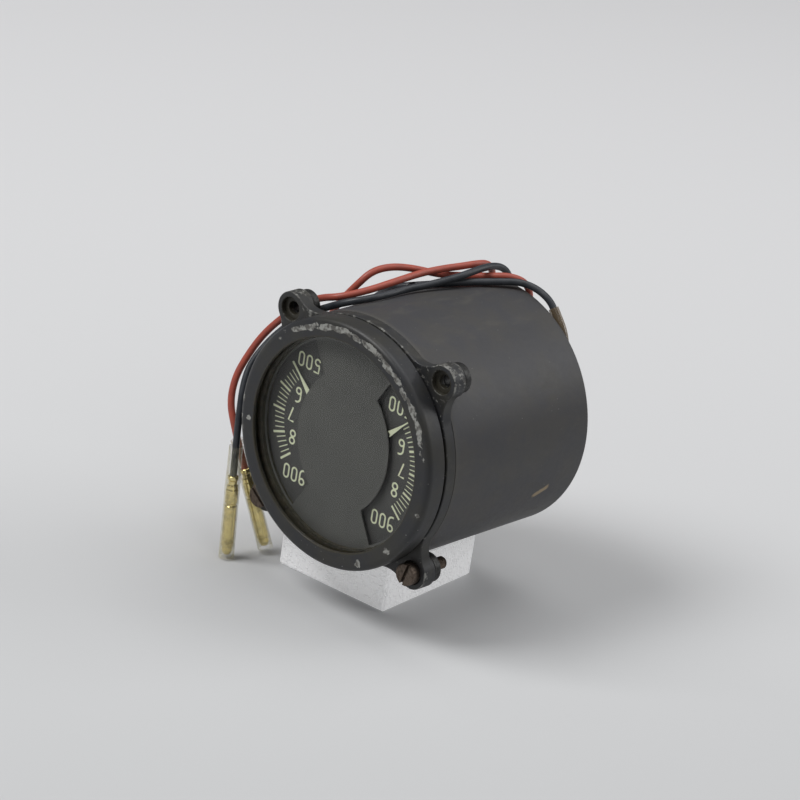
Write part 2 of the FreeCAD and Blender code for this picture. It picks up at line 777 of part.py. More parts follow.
def spring_shape():
    """Flat spiral strip of half circles whose radius grows by half a pitch each time."""
    strip = size("spring_strip")
    radius = size("spring_inner")
    step = size("spring_pitch") / 2
    centre = 0.0
    inner = []
    outer = []
    for half in range(int(size("spring_halves"))):
        side = 1 if half % 2 == 0 else -1
        start = FreeCAD.Vector(centre + side * radius, 0, 0)
        middle = FreeCAD.Vector(centre, 0, side * radius)
        end = FreeCAD.Vector(centre - side * radius, 0, 0)
        grow = FreeCAD.Vector(side * strip, 0, 0)
        inner.append(Part.Arc(start, middle, end))
        outer.append(Part.Arc(start + grow, middle + FreeCAD.Vector(0, 0, side * strip), end - grow))
        centre += side * step
        radius += step
    first = Part.LineSegment(inner[0].StartPoint, outer[0].StartPoint)
    last = Part.LineSegment(inner[-1].EndPoint, outer[-1].EndPoint)
    edges = [curve.toShape() for curve in inner + [last] + outer[::-1] + [first]]
    wire = Part.Wire(Part.__sortEdges__(edges))
    return Part.Face(wire).extrude(Y * size("spring_height"))


def movement(word, pivot, base, side):
    """One moving-coil movement on the back of the plate that ends at the station base."""
    def at(offset):
        return "(%s + %s)" % (base, offset)

    magnet_back = at("magnet_length")
    pin_station = at("core_start + core_length / 2")
    pin_length = "(magnet_bore + pin_grip - pin_inner)"
    pins = []
    pin_tools = []
    for name, turn in (("up", -90), ("down", 90)):
        for kind, extra in (("pin", "0"), ("bore", "neck_clear")):
            item = doc.addObject("Part::Cylinder", "%s_%s_%s" % (kind, name, word))
            bind(item, "Radius", "pin_radius + %s" % extra)
            bind(item, "Height", "%s + %s * 2" % (pin_length, extra))
            sign = "" if turn < 0 else "0 - "
            rotation = FreeCAD.Rotation(X, 0) if turn < 0 else FreeCAD.Rotation(X, 180)
            place(item, pivot, pin_station, "%s(pin_inner - %s)" % (sign, extra), rotation)
            (pins if kind == "pin" else pin_tools).append(item)
    magnet = ring("magnet_ring_" + word, "magnet_bore", "magnet_radius", base, magnet_back, pivot)
    core = ring("core_ring_" + word, "core_bore", "core_radius", at("core_start"),
                at("core_start + core_length"), pivot)
    taps = []
    screws = []
    depth = "(magnet_screw_grip + tap_spare)"
    for name, up in MAGNET_SCREWS:
        taps.append(rod("magnet_tap_%s_%s" % (name, word), "small_screw + neck_clear",
                        "%s - %s" % (magnet_back, depth), "%s + over" % depth, pivot, up))
        taps.append(rod("magnet_root_%s_%s" % (name, word), "small_screw + neck_clear",
                        "%s - over" % base, "%s + over" % depth, pivot, up))
        screws.append(small_screw("bridge_screw_%s_%s" % (name, word), "%s - magnet_screw_grip" % magnet_back,
                                  "(%s + bridge_thick)" % magnet_back, pivot, up))
    named("field_magnet_" + word, cut("field_magnet_" + word, magnet, pin_tools + taps))
    core_tools = [doc.copyObject(tool) for tool in pin_tools]
    named("core_" + word, cut("core_" + word, core, core_tools))

    bar = box("bridge_bar_" + word, "bridge_width", "bridge_thick", "bridge_length",
              "%s - bridge_width / 2" % pivot, magnet_back, "0 - bridge_length / 2")
    bridge_holes = [bore("bridge_bore_" + word, "jewel_radius", magnet_back, "bridge_thick", pivot)]
    for name, up in MAGNET_SCREWS:
        bridge_holes.append(bore("bridge_hole_%s_%s" % (name, word), "small_screw + neck_clear",
                                 magnet_back, "bridge_thick", pivot, up))
    named("bridge_" + word, cut("bridge_" + word, bar, bridge_holes))

    jewel_front = "(%s - jewel_inside)" % magnet_back
    jewel_back = "(%s + jewel_length)" % jewel_front
    cup = "(%s + cup_depth)" % jewel_front
    hole = "(staff_radius + staff_run)"
    jewel = turned("jewel_" + word, (
        (hole, jewel_front),
        ("jewel_radius", jewel_front),
        ("jewel_radius", jewel_back),
        (0, jewel_back),
        (0, cup),
        (hole, cup),
    ), pivot)

    staff_end = "(%s - staff_end_clear)" % cup
    spring_front = at("spring_start")
    collet_front = "(%s - collet_spare)" % spring_front
    collet_back = "(%s + spring_height + collet_spare)" % spring_front
    staff = turned("staff_" + word, (
        (0, POINTER_FRONT),
        ("staff_radius", POINTER_FRONT),
        ("staff_radius", POINTER_BACK),
        ("collar_radius", POINTER_BACK),
        ("collar_radius", "%s + collar_length" % POINTER_BACK),
        ("staff_radius", "%s + collar_length" % POINTER_BACK),
        ("staff_radius", collet_front),
        ("collar_radius", collet_front),
        ("collar_radius", collet_back),
        ("staff_radius", collet_back),
        ("staff_radius", staff_end),
        (0, staff_end),
    ), pivot)
    named("staff_" + word, staff)

    coil_turn = FreeCAD.Rotation(Y, -side * size("pointer_rest"))
    frame = box("coil_block_" + word, "coil_half * 2", "coil_length", "coil_width",
                "0 - coil_half", 0, "0 - coil_width / 2")
    hollow = box("coil_hollow_" + word, "coil_half * 2 - coil_wall * 2", "coil_length - coil_wall * 2",
                 "coil_width + over * 2", "coil_wall - coil_half", "coil_wall", "0 - coil_width / 2 - over")
    coil = cut("coil_" + word, frame, [hollow, bore("coil_bore_" + word, "staff_radius", 0, "coil_length")])
    place(coil, pivot, at("coil_start"), 0, coil_turn)
    named("moving_coil_" + word, coil)

    spring = doc.addObject("Part::Feature", "hairspring_" + word)
    spring.Shape = spring_shape()
    place(spring, pivot, spring_front, 0, FreeCAD.Rotation(Y, 180 if side > 0 else 0))
    named("hairspring_" + word, spring)

    lever_front = "(%s + bridge_thick)" % magnet_back
    hub = disc("lever_hub_" + word, "lever_hub", lever_front, "%s + lever_thick" % lever_front, pivot)
    left_edge = "%s - lever_reach" % pivot if side < 0 else pivot
    arm = box("lever_arm_" + word, "lever_reach", "lever_thick", "lever_width",
              left_edge, lever_front, "0 - lever_width / 2")
    spring_outer = "(spring_inner + spring_pitch / 2 * (spring_halves - 1) + spring_strip)"
    finger_at = "(%s + finger_radius + finger_clear)" % spring_outer
    finger_x = "%s %s %s" % (pivot, "-" if side < 0 else "+", finger_at)
    finger = rod("lever_finger_" + word, "finger_radius", spring_front,
                 "%s + lever_thick / 2 - %s" % (lever_front, spring_front), finger_x)
    lever_bore = bore("lever_bore_" + word, "jewel_radius + lever_run", lever_front, "lever_thick", pivot)
    lever = cut("zero_lever_" + word, fuse("lever_blank_" + word, [hub, arm, finger]), [lever_bore])
    named("zero_lever_" + word, lever)
    return jewel, pins, screws


def pointer(word, pivot, turn):
    """Flat pointer: a hub, an arm, a luminous wedge, a fine tip and a short tail."""
    body = doc.addObject("PartDesign::Body", "pointer_plate_" + word)
    half_arm = "(arm_width / 2)"
    half_wedge = "(pointer_wedge / 2)"
    half_tip = "(pointer_tip / 2)"
    half_tail = "(tail_width / 2)"
    upper = (
        ("0 - tail_reach", half_tail),
        ("0 - hub_radius", half_arm),
        ("wedge_start", half_arm),
        ("wedge_start", half_wedge),
        ("wedge_end", half_tip),
        ("pointer_reach", half_tip),
    )
    lower = tuple((across, "0 - %s" % up) for across, up in reversed(upper))
    sketch = outline(body, "pointer_outline_" + word, "XZ_Plane", upper + lower)
    pad = body.newObject("PartDesign::Pad", "pointer_pad_" + word)
    pad.Profile = sketch
    bind(pad, "Length", "pointer_thick")
    pad.Reversed = True
    hub = rod("pointer_hub_" + word, "hub_radius", 0, "pointer_thick")
    tail_end = "0 - tail_reach + tail_width / 2"
    weight = rod("pointer_weight_" + word, "tail_width / 2", 0, "weight_thick", tail_end)
    hole = bore("pointer_bore_" + word, "staff_radius", 0, "pointer_thick")
    item = cut("pointer_" + word, fuse("pointer_blank_" + word, [body, hub, weight]), [hole])
    place(item, pivot, POINTER_FRONT, 0, FreeCAD.Rotation(Y, turn))
    named("pointer_" + word, item)


def movements():
    """Both movements, one behind the other, with what they share."""
    jewels = []
    pins = []
    screws = []
    rest = size("pointer_rest")
    for word, pivot, base, side in (
        ("left", "(0 - pivot_offset)", PLATE_BACK, -1),
        ("right", "(pivot_offset)", MID_BACK, 1),
    ):
        jewel, more_pins, more_screws = movement(word, pivot, base, side)
        jewels.append(jewel)
        pins.extend(more_pins)
        screws.extend(more_screws)
        pointer(word, pivot, -rest if side > 0 else rest - 180)
    named("jewel_screws", group("jewel_screws", jewels))
    named("core_pins", group("core_pins", pins))
    named("bridge_screws", group("bridge_screws", screws))


def spools():
    """Two wire-wound compensating resistors on the card."""
    items = []
    for number, up in enumerate(("spool_up", "0 - spool_up")):
        front = "(card_front - spool_length)"
        items.append(turned("spool_%d" % number, (
            (0, front),
            ("spool_radius", front),
            ("spool_radius", "%s + spool_flange" % front),
            ("spool_wind", "%s + spool_flange" % front),
            ("spool_wind", "card_front - spool_flange"),
            ("spool_radius", "card_front - spool_flange"),
            ("spool_radius", "card_front"),
            (0, "card_front"),
        ), "0 - spool_across", up))
    named("resistor_spools", group("resistor_spools", items))


def lead_edges(points):
    """Straight runs joined by tangent arcs; each arc is as large as its two runs allow."""
    points = [FreeCAD.Vector(*point) for point in points]
    edges = []
    radii = []
    start = points[0]
    for before, corner, after in zip(points, points[1:], points[2:]):
        come = (corner - before).normalize()
        leave = (after - corner).normalize()
        trim = 0.45 * min((corner - before).Length, (after - corner).Length)
        half = come.getAngle(leave) / 2
        radius = trim / math.tan(half)
        first = corner - come * trim
        last = corner + leave * trim
        inward = (leave - come).normalize()
        middle = corner + inward * (radius / math.cos(half) - radius)
        edges.append(Part.LineSegment(start, first).toShape())
        edges.append(Part.Arc(first, middle, last).toShape())
        radii.append(radius)
        start = last
    edges.append(Part.LineSegment(start, points[-1]).toShape())
    return edges, radii


def swept(edges, radius):
    """Solid tube of round section along a chain of tangent edges."""
    start = edges[0].valueAt(edges[0].FirstParameter)
    along = edges[0].tangentAt(edges[0].FirstParameter)
    section = Part.Wire([Part.Circle(start, along, radius).toShape()])
    solid = Part.Wire(edges).makePipeShell([section], True, True)
    length = sum(edge.Length for edge in edges)
    wanted = math.pi * radius ** 2 * length
    if abs(solid.Volume / wanted - 1) > 0.01:
        raise RuntimeError("a lead's volume is off: %.1f for %.1f" % (solid.Volume, wanted))
    return solid, length


# Routes of the leads: points chosen by hand, from the ring tag to the crimp of the plug,
# around a case of this radius and length
ROUTE_RADIUS = 40.0
ROUTE_CASE = 67.0
ROUTE_PITCH = 10.0
# a route point follows the studs within the first of these radii, and the case beyond the second
BOARD_SIDE = 25.0
CASE_SIDE = 38.0
# and it follows the case's rear end wholly beyond the second of these stations
FLANGE_SIDE = 15.0
BEND_SIDE = 60.0
ROUTES = {
    "red_front": (
        (-14.1, 69.4, 15.6), (-13.5, 69.4, 22.0), (-13.1, 70.9, 28.4), (-12.5, 72.4, 34.2),
        (-12.0, 71.4, 38.9), (-11.6, 67.9, 41.9), (-11.8, 63.1, 42.7), (-13.4, 57.2, 42.3),
        (-15.5, 51.2, 41.9), (-17.0, 42.2, 41.5), (-17.2, 31.0, 40.8), (-19.2, 20.6, 38.9),
        (-23.6, 12.6, 36.6), (-31.0, 11.9, 33.8), (-38.6, 12.8, 28.4), (-45.8, 12.2, 21.2),
        (-50.4, 9.6, 14.2), (-53.0, 6.6, 6.6), (-53.9, 3.2, -0.6), (-52.6, 1.0, -8.4),
        (-48.3, 0.1, -15.2), (-46.3, 1.3, -21.6), (-44.13, 2.77, -28.3),
    ),
    "black_front": (
        (-5.0, 69.4, 15.6), (-5.0, 69.4, 22.0), (-4.7, 71.0, 28.4), (-4.8, 72.7, 34.6),
        (-5.1, 71.9, 39.1), (-5.6, 69.0, 42.3), (-6.0, 64.7, 43.8), (-5.6, 59.2, 44.4),
        (-5.3, 53.0, 44.2), (-5.9, 46.5, 43.3), (-9.8, 38.8, 40.9), (-13.4, 31.0, 39.4),
        (-13.4, 22.4, 39.2), (-15.2, 14.6, 38.5), (-20.8, 10.9, 36.0), (-28.4, 11.4, 31.2),
        (-35.8, 13.0, 26.6), (-42.2, 12.0, 20.6), (-46.2, 7.8, 13.8), (-47.6, 2.5, 6.8),
        (-46.2, -1.0, 0.8), (-43.9, -3.6, -5.8), (-42.1, -5.3, -13.7), (-41.5, -5.5, -20.6),
        (-41.08, -5.5, -27.66),
    ),
    "red_rear": (
        (5.0, 69.4, 15.6), (5.0, 69.4, 21.8), (4.6, 70.8, 27.8), (4.3, 72.2, 33.6),
        (4.0, 71.3, 38.4), (2.8, 68.2, 41.5), (-0.4, 64.6, 42.4), (-5.2, 61.0, 41.2),
        (-10.9, 57.2, 40.0), (-17.3, 52.4, 38.8), (-21.6, 44.2, 41.0), (-24.0, 35.8, 42.4),
        (-26.2, 29.4, 41.2), (-28.2, 25.8, 36.8), (-32.2, 24.6, 30.8), (-37.8, 27.0, 24.0),
        (-42.1, 30.0, 15.4), (-44.4, 32.6, 5.8), (-45.2, 34.4, -4.2), (-45.5, 35.1, -12.6),
        (-45.6, 35.3, -19.5), (-45.7, 35.4, -26.6),
    ),
    "black_rear": (
        (19.7, 69.4, 14.37), (22.6, 69.4, 19.54), (23.2, 69.5, 25.0), (21.4, 69.4, 30.4),
        (17.9, 69.0, 35.2), (15.0, 68.7, 38.9), (9.6, 68.0, 41.1), (4.4, 65.4, 42.0),
        (0.4, 59.6, 41.7), (-4.7, 51.8, 41.2), (-9.3, 45.2, 40.3), (-13.8, 39.6, 39.2),
        (-20.4, 36.6, 36.8), (-27.5, 36.9, 31.9), (-34.2, 38.4, 25.0), (-40.0, 40.4, 15.8),
        (-43.8, 42.2, 5.8), (-45.6, 43.4, -4.0), (-46.1, 44.0, -12.2), (-46.3, 44.15, -19.2),
        (-46.4, 44.2, -26.2),
    ),
}


def laid_route(word):
    """Route points of one lead, moved with the stud that it starts at and with the case under it."""
    outward = size("body_radius") - ROUTE_RADIUS
    backward = size("case_length") - ROUTE_CASE
    sideways = stud_x(word) * (1 - ROUTE_PITCH / size("stud_pitch"))
    points = []
    for x, y, z in ROUTES[word]:
        reach = math.hypot(x, z)
        on_case = min(max((reach - BOARD_SIDE) / (CASE_SIDE - BOARD_SIDE), 0), 1)
        at_rear = min(max((y - FLANGE_SIDE) / (BEND_SIDE - FLANGE_SIDE), 0), 1)
        grow = 1 + on_case * outward / reach
        points.append((x * grow + (1 - on_case) * sideways, y + at_rear * backward, z * grow))
    return points


def ring_tags():
    """Ring tag of each lead on its stud; the barrel points along the lead's first run."""
    tags = []
    for word, x in stud_places():
        first = FreeCAD.Vector(*laid_route(word)[0])
        lean = 90 - math.degrees(math.atan2(first.z - size("stud_height"), first.x - stud_x(word)))
        washer = ring("tag_ring_" + word, "stud_radius", "tag_radius", 0, "tag_thick")
        root = "(stud_radius + tag_radius) / 2"
        neck = box("tag_neck_" + word, "stud_radius * 2", "tag_thick", "barrel_start + tag_thick - %s" % root,
                   "0 - stud_radius", 0, root)
        barrel = doc.addObject("Part::Cylinder", "tag_barrel_" + word)
        bind(barrel, "Radius", "barrel_radius")
        bind(barrel, "Height", "barrel_length")
        place(barrel, 0, "barrel_radius", "barrel_start")
        tag = fuse("tag_" + word, [washer, neck, barrel])
        place(tag, x, TAG_FRONT, "stud_height", FreeCAD.Rotation(Y, lean))
        tags.append(tag)
    named("ring_tags", group("ring_tags", tags))


def stud_x(word):
    """Where the stud of one lead stands across the board."""
    words = [name for name, expression in stud_places()]
    return size("stud_pitch") * (words.index(word) - 1.5)


def leads():
    """Four insulated leads, each with a crimped plug in a clear sleeve."""
    plugs = {}
    sleeves = {}
    for word in ROUTES:
        points = laid_route(word)
        edges, radii = lead_edges(points)
        solid, length = swept(edges, size("lead_radius"))
        print("lead %s: %.0f mm long, radii %s" % (word, length, " ".join("%.1f" % r for r in radii)))
        lead = doc.addObject("Part::Feature", "lead_" + word)
        lead.Shape = solid
        named("lead_" + word, lead)
        end = FreeCAD.Vector(*points[-1])
        along = (end - FreeCAD.Vector(*points[-2])).normalize()
        aim = FreeCAD.Rotation(Y, along)
        plugs[word] = turned_body("plug_" + word, (
            (0, 0),
            ("crimp_radius", 0),
            ("crimp_radius", "crimp_length"),
            ("plug_radius", "crimp_length + plug_shoulder"),
            ("plug_radius", "crimp_length + plug_length"),
            (0, "crimp_length + plug_length"),
        ))
        plugs[word].Placement = FreeCAD.Placement(end, aim)
        sleeves[word] = turned_body("sleeve_" + word, (
            ("sleeve_bore", 0),
            ("sleeve_top", 0),
            ("sleeve_radius", "sleeve_flare"),
            ("sleeve_radius", "sleeve_length"),
            ("sleeve_bore", "sleeve_length"),
        ))
        sleeves[word].Placement = FreeCAD.Placement(end - along * size("sleeve_before"), aim)
    for word in ("red_front", "black_front"):
        named("plug_" + word, plugs[word])
        named("sleeve_" + word, sleeves[word])
    rear = ("red_rear", "black_rear")
    named("plugs_rear", group("plugs_rear", [plugs[word] for word in rear]))
    named("sleeves_rear", group("sleeves_rear", [sleeves[word] for word in rear]))


def guard():
    """Soft sleeve over the first part of the black rear lead, where it crosses the case's edge."""
    edges = []
    for edge in lead_edges(laid_route("black_rear"))[0]:
        if sum(earlier.Length for earlier in edges) < size("guard_length"):
            edges.append(edge)
    outer = swept(edges, size("guard_radius"))[0]
    inner = swept(edges, size("lead_radius") + size("lead_clear"))[0]
    item = doc.addObject("Part::Feature", "lead_guard")
    item.Shape = outer.cut(inner)
    named("lead_guard", item)


bezel()
glass_stack()
mask_and_dial()
flange()
snap_ring()
nuts_and_screws()
case()
terminals()
frame_plates()
movements()
spools()
ring_tags()
leads()
guard()
doc.recompute()

for item in doc.Objects:
    if "Invalid" in item.State or "Error" in item.State:
        raise RuntimeError("%s did not compute: %s" % (item.Name, item.State))

os.makedirs("parts", exist_ok=True)
for item in subparts:
    shape = item.Shape
    if shape.isNull() or not shape.isValid() or not shape.Solids:
        raise RuntimeError("%s has no sound shape" % item.Label)
    print("%-22s %2d solids %10.2f mm3" % (item.Label, len(shape.Solids), shape.Volume))
    shape.exportStep(os.path.join("parts", item.Label + ".step"))
print(len(subparts), "sub-parts written")
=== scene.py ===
import bpy
import bmesh
import math
from functools import partialmethod
from mathutils import Matrix, Vector


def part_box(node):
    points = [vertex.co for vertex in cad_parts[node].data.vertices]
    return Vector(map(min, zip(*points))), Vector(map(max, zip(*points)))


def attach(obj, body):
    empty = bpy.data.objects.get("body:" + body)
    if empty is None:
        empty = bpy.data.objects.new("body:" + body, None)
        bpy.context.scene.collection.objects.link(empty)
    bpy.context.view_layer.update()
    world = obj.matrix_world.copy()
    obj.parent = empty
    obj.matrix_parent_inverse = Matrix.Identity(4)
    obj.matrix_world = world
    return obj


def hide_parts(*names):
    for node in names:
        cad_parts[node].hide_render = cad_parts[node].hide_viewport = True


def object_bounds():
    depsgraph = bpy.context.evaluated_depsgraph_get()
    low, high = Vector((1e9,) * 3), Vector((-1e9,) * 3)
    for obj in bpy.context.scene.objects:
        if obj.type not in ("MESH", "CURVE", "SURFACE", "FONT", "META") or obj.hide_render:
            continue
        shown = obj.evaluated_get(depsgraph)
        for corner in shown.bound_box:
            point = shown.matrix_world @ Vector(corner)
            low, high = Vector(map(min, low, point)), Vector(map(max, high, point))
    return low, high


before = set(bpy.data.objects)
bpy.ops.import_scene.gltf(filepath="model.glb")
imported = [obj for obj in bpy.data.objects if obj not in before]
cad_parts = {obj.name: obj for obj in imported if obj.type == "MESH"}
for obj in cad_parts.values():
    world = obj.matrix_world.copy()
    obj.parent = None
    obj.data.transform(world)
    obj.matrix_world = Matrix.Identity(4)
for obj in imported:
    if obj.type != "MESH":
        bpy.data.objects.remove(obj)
cad_low, cad_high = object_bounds()
BASE = "instrument"

# Lengths below are in millimetres, in the frame of the part: +Y runs from the glass into the case
MM = 0.001
TURN = 2 * math.pi


def ends(node):
    """Lowest and highest corner of a CAD node in millimetres."""
    low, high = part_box(node)
    return low / MM, high / MM


def extent(node):
    """Front, back and radius of a round CAD node."""
    low, high = ends(node)
    return low.y, high.y, high.x


BEZEL_FRONT, BEZEL_BACK, BEZEL_RADIUS = extent("bezel_ring")
GLASS_FRONT, GLASS_BACK, GLASS_RADIUS = extent("glass_window")
MASK_FRONT, MASK_BACK = extent("mask_plate")[:2]
DIAL_FRONT, DIAL_BACK = extent("dial_plate")[:2]
CASE_FRONT, CASE_BACK, CASE_RADIUS = extent("case_shell")
BOARD_FRONT, BOARD_BACK, BOARD_RADIUS = extent("terminal_board")
OPENING_RADIUS = 34.0
# Across, from the middle to each pointer's axis
PIVOT = 7.2
# From the middle to each lug's hole: straight, and across as well as up
LUG_REACH = 45.2
LUG_PLACE = LUG_REACH * math.sqrt(0.5)
LUG_RADIUS = 5.5
LUG_DEPTH = 5.2
WEB_THICK = 4.0
SINK_RADIUS = 3.75
SINK_DEPTH = 1.6
HOLE_RADIUS = 2.15


# Camera, lamps and surround

CAMERA_PLACE = (729.7, -865.9, 493.1)
CAMERA_RIGHT = (0.7254, 0.6738, 0.1408)
CAMERA_BACK = (0.5855, -0.7115, 0.3884)
LAMP_TARGET = (0, 20, 0)
# Place and side in metres, and power, of each softbox
LAMPS = {
    "key_box": ((-0.45, -0.65, 1.05), 0.6, 12.0),
    "top_box": ((0.1, 0.3, 1.1), 0.8, 5.0),
    "side_box": ((1.1, -0.4, 1.0), 0.6, 1.5),
    "back_box": ((0.75, 1.05, 0.7), 0.9, 6.0),
}
SURROUND = (0.62, 0.62, 0.635)
SURROUND_LIGHT = 0.23


def add_object(name, data):
    """New object in the scene's own collection."""
    added = bpy.data.objects.new(name, data)
    bpy.context.scene.collection.objects.link(added)
    return added


def add_camera():
    """Camera at the photograph's viewing angle; the gauge lies a little rolled in its view."""
    back = Vector(CAMERA_BACK).normalized()
    up = back.cross(Vector(CAMERA_RIGHT).normalized()).normalized()
    right = up.cross(back)
    data = bpy.data.cameras.new("camera")
    data.lens = 180
    data.sensor_width = 36
    camera = add_object("camera", data)
    turn = Matrix((right, up, back)).transposed()
    camera.matrix_world = Matrix.Translation(Vector(CAMERA_PLACE) * MM) @ turn.to_4x4()
    bpy.context.scene.camera = camera


def add_lamps():
    """Square softboxes, aimed at the front half of the case."""
    for name, (place, size, power) in LAMPS.items():
        data = bpy.data.lights.new(name, "AREA")
        data.size = size
        data.energy = power
        lamp = add_object(name, data)
        lamp.location = place
        lamp.rotation_euler = (Vector(LAMP_TARGET) * MM - Vector(place)).to_track_quat("-Z", "Y").to_euler()


def add_world():
    """Even pale surround: seen, also through the glass, as a pale grey, and much weaker as light."""
    world = bpy.data.worlds.new("surround")
    bpy.context.scene.world = world
    world.use_nodes = True
    tree = world.node_tree
    rays = tree.nodes.new("ShaderNodeLightPath").outputs
    seen = add_node(tree, "ShaderNodeMath", {0: rays["Is Camera Ray"], 1: rays["Is Transmission Ray"]},
                    operation="MAXIMUM")
    strength = add_node(tree, "ShaderNodeMapRange", {"Value": seen.outputs[0], "To Min": SURROUND_LIGHT})
    give(tree.nodes["Background"], "Color", (*SURROUND, 1))
    give(tree.nodes["Background"], "Strength", strength.outputs["Result"])


# Formulas for materials

def give(node, name, value):
    """Set an input of a node to a value, a socket or a field."""
    value = value.socket if isinstance(value, Field) else value
    if isinstance(value, bpy.types.NodeSocket):
        node.id_data.links.new(value, node.inputs[name])
    else:
        node.inputs[name].default_value = value


def add_node(tree, kind, inputs, **settings):
    """New node with its settings, and its inputs by name or number."""
    node = tree.nodes.new(kind)
    for name, value in settings.items():
        setattr(node, name, value)
    for name, value in inputs.items():
        give(node, name, value)
    return node


class Field:
    """A number worked out by a material's nodes, so that its formula reads as one."""

    def __init__(self, socket):
        self.socket = socket
        self.tree = socket.id_data

    def join(self, operation, *others):
        step = add_node(self.tree, "ShaderNodeMath", dict(enumerate((self,) + others)), operation=operation)
        return Field(step.outputs[0])

    __add__ = partialmethod(join, "ADD")
    __sub__ = partialmethod(join, "SUBTRACT")
    __mul__ = partialmethod(join, "MULTIPLY")
    __truediv__ = partialmethod(join, "DIVIDE")
    power = partialmethod(join, "POWER")
    size = partialmethod(join, "ABSOLUTE")
    smallest = partialmethod(join, "MINIMUM")
    largest = partialmethod(join, "MAXIMUM")

    def rise(self, low, high):
        """0 below low, 1 above high, smooth in between; falls instead where low is the larger."""
        low, high, start, end = (low, high, 0.0, 1.0) if low < high else (high, low, 1.0, 0.0)
        inputs = {"Value": self, "From Min": low, "From Max": high, "To Min": start, "To Max": end}
        step = add_node(self.tree, "ShaderNodeMapRange", inputs, interpolation_type="SMOOTHSTEP")
        return Field(step.outputs["Result"])


class Finish:
    """A Principled material with coordinates in millimetres and a few pattern makers."""

    def __init__(self, name, roughness=0.5, metallic=0.0):
        self.material = bpy.data.materials.new(name)
        self.material.use_nodes = True
        self.tree = self.material.node_tree
        self.shader = self.tree.nodes["Principled BSDF"]
        self.drive("Roughness", roughness)
        self.drive("Metallic", metallic)
        place = self.tree.nodes.new("ShaderNodeTexCoord").outputs["Object"]
        scale = add_node(self.tree, "ShaderNodeVectorMath", {0: place, "Scale": 1 / MM}, operation="SCALE")
        self.place = scale.outputs[0]
        parts = add_node(self.tree, "ShaderNodeSeparateXYZ", {0: self.place})
        self.x, self.y, self.z = (Field(parts.outputs[axis]) for axis in "XYZ")
        self.bumps = None

    def radius(self, x=0.0, z=0.0):
        """Distance from an axis along Y."""
        across = self.x - x
        up = self.z - z
        return (across * across + up * up).power(0.5)

    def facing(self, x, z):
        """1 where a point lies in the direction (x, z) from the Y axis, and 0 square to it."""
        radius = self.radius()
        return self.x / radius * x + self.z / radius * z

    def texture(self, kind, scale, offset, stretch=(1, 1, 1), **inputs):
        """Texture node on stretched coordinates; its offset keeps it unlike the others."""
        mapping = add_node(self.tree, "ShaderNodeMapping",
                           {"Vector": self.place, "Scale": stretch, "Location": offset})
        return add_node(self.tree, kind, {"Vector": mapping.outputs["Vector"], "Scale": scale, **inputs})

    def noise(self, scale, detail=3.0, rough=0.55, stretch=(1, 1, 1), seed=0.0):
        """Noise around 0.5 with features of about 1/scale millimetres."""
        offset = (seed * 17.3, seed * 5.1, seed * 9.7)
        texture = self.texture("ShaderNodeTexNoise", scale, offset, stretch, Detail=detail, Roughness=rough)
        return Field(texture.outputs["Fac"])

    def specks(self, scale, size, seed=0.0):
        """Small round specks, 1 inside and 0 outside."""
        texture = self.texture("ShaderNodeTexVoronoi", scale, (seed * 11.9, seed * 3.7, seed * 7.3))
        return Field(texture.outputs["Distance"]).rise(size, size * 0.6)

    def mix(self, amount, first, second):
        """Colour between two others; each is a tuple or the result of another mix."""
        first, second = ((*value, 1) if isinstance(value, tuple) else value for value in (first, second))
        inputs = {"Factor": amount, 6: first, 7: second}
        return add_node(self.tree, "ShaderNodeMix", inputs, data_type="RGBA").outputs[2]

    def colour(self, value):
        self.drive("Base Color", (*value, 1) if isinstance(value, tuple) else value)

    def drive(self, name, value):
        give(self.shader, name, value)

    def bump(self, field, depth):
        """Raise the surface by field times depth in millimetres, on top of earlier bumps."""
        inputs = {"Distance": depth * MM, "Height": field}
        if self.bumps is not None:
            inputs["Normal"] = self.bumps
        step = add_node(self.tree, "ShaderNodeBump", inputs)
        self.bumps = step.outputs["Normal"]
        self.drive("Normal", self.bumps)


# Colours, linear
ENAMEL = (0.025, 0.026, 0.029)
ENAMEL_WARM = (0.033, 0.032, 0.028)
CASE_ENAMEL = (0.05, 0.05, 0.054)
CASE_WARM = (0.057, 0.055, 0.053)
DUST = (0.1, 0.094, 0.078)
GRIME = (0.042, 0.037, 0.024)
TAN = (0.3, 0.23, 0.14)
BARE_METAL = (0.36, 0.36, 0.335)
BARE_DARK = (0.12, 0.115, 0.105)
LUME = (0.74, 0.78, 0.55)


def worn_enamel(finish, paint, warm, wear, dust, grime=None, shine=0.36):
    """Black paint with bare metal where wear is 1, dust where dust is 1 and old dirt where grime is 1."""
    grain = finish.noise(9.0, 4.0)
    broad = finish.noise(0.09, 3.0, seed=2)
    shade = finish.mix(broad.rise(0.35, 0.7), paint, warm)
    shade = finish.mix(dust * 0.75, shade, DUST)
    if grime is not None:
        shade = finish.mix(grime, shade, GRIME)
    metal = finish.mix(finish.noise(0.6, 3.0, seed=5).rise(0.4, 0.6), BARE_DARK, BARE_METAL)
    finish.colour(finish.mix(wear, shade, metal))
    finish.drive("Metallic", wear * 0.35)
    rough = finish.noise(0.6, 3.0, seed=4) * 0.16 + shine
    finish.drive("Roughness", rough + dust * 0.25 + wear * 0.08)
    finish.drive("Specular IOR Level", 0.38)
    finish.bump(grain, 0.008)
    finish.bump(wear * -1.0, 0.05)


def patch(finish, x, z, size, seed):
    """Ragged spot where paint has come off around a point of the face."""
    ragged = finish.noise(0.8, 4.0, seed=seed) * 2.6 - 1.3
    return (finish.radius(x, z) + ragged).rise(size, size - 0.25)


# Place and size of the bare spots on the bezel's face
BEZEL_SPOTS = (
    (37.4, -8.2, 0.9), (27.7, -24.4, 1.1), (17.1, -33.2, 1.3), (-35.6, -4.6, 1.0), (-27.0, 25.4, 0.8),
)


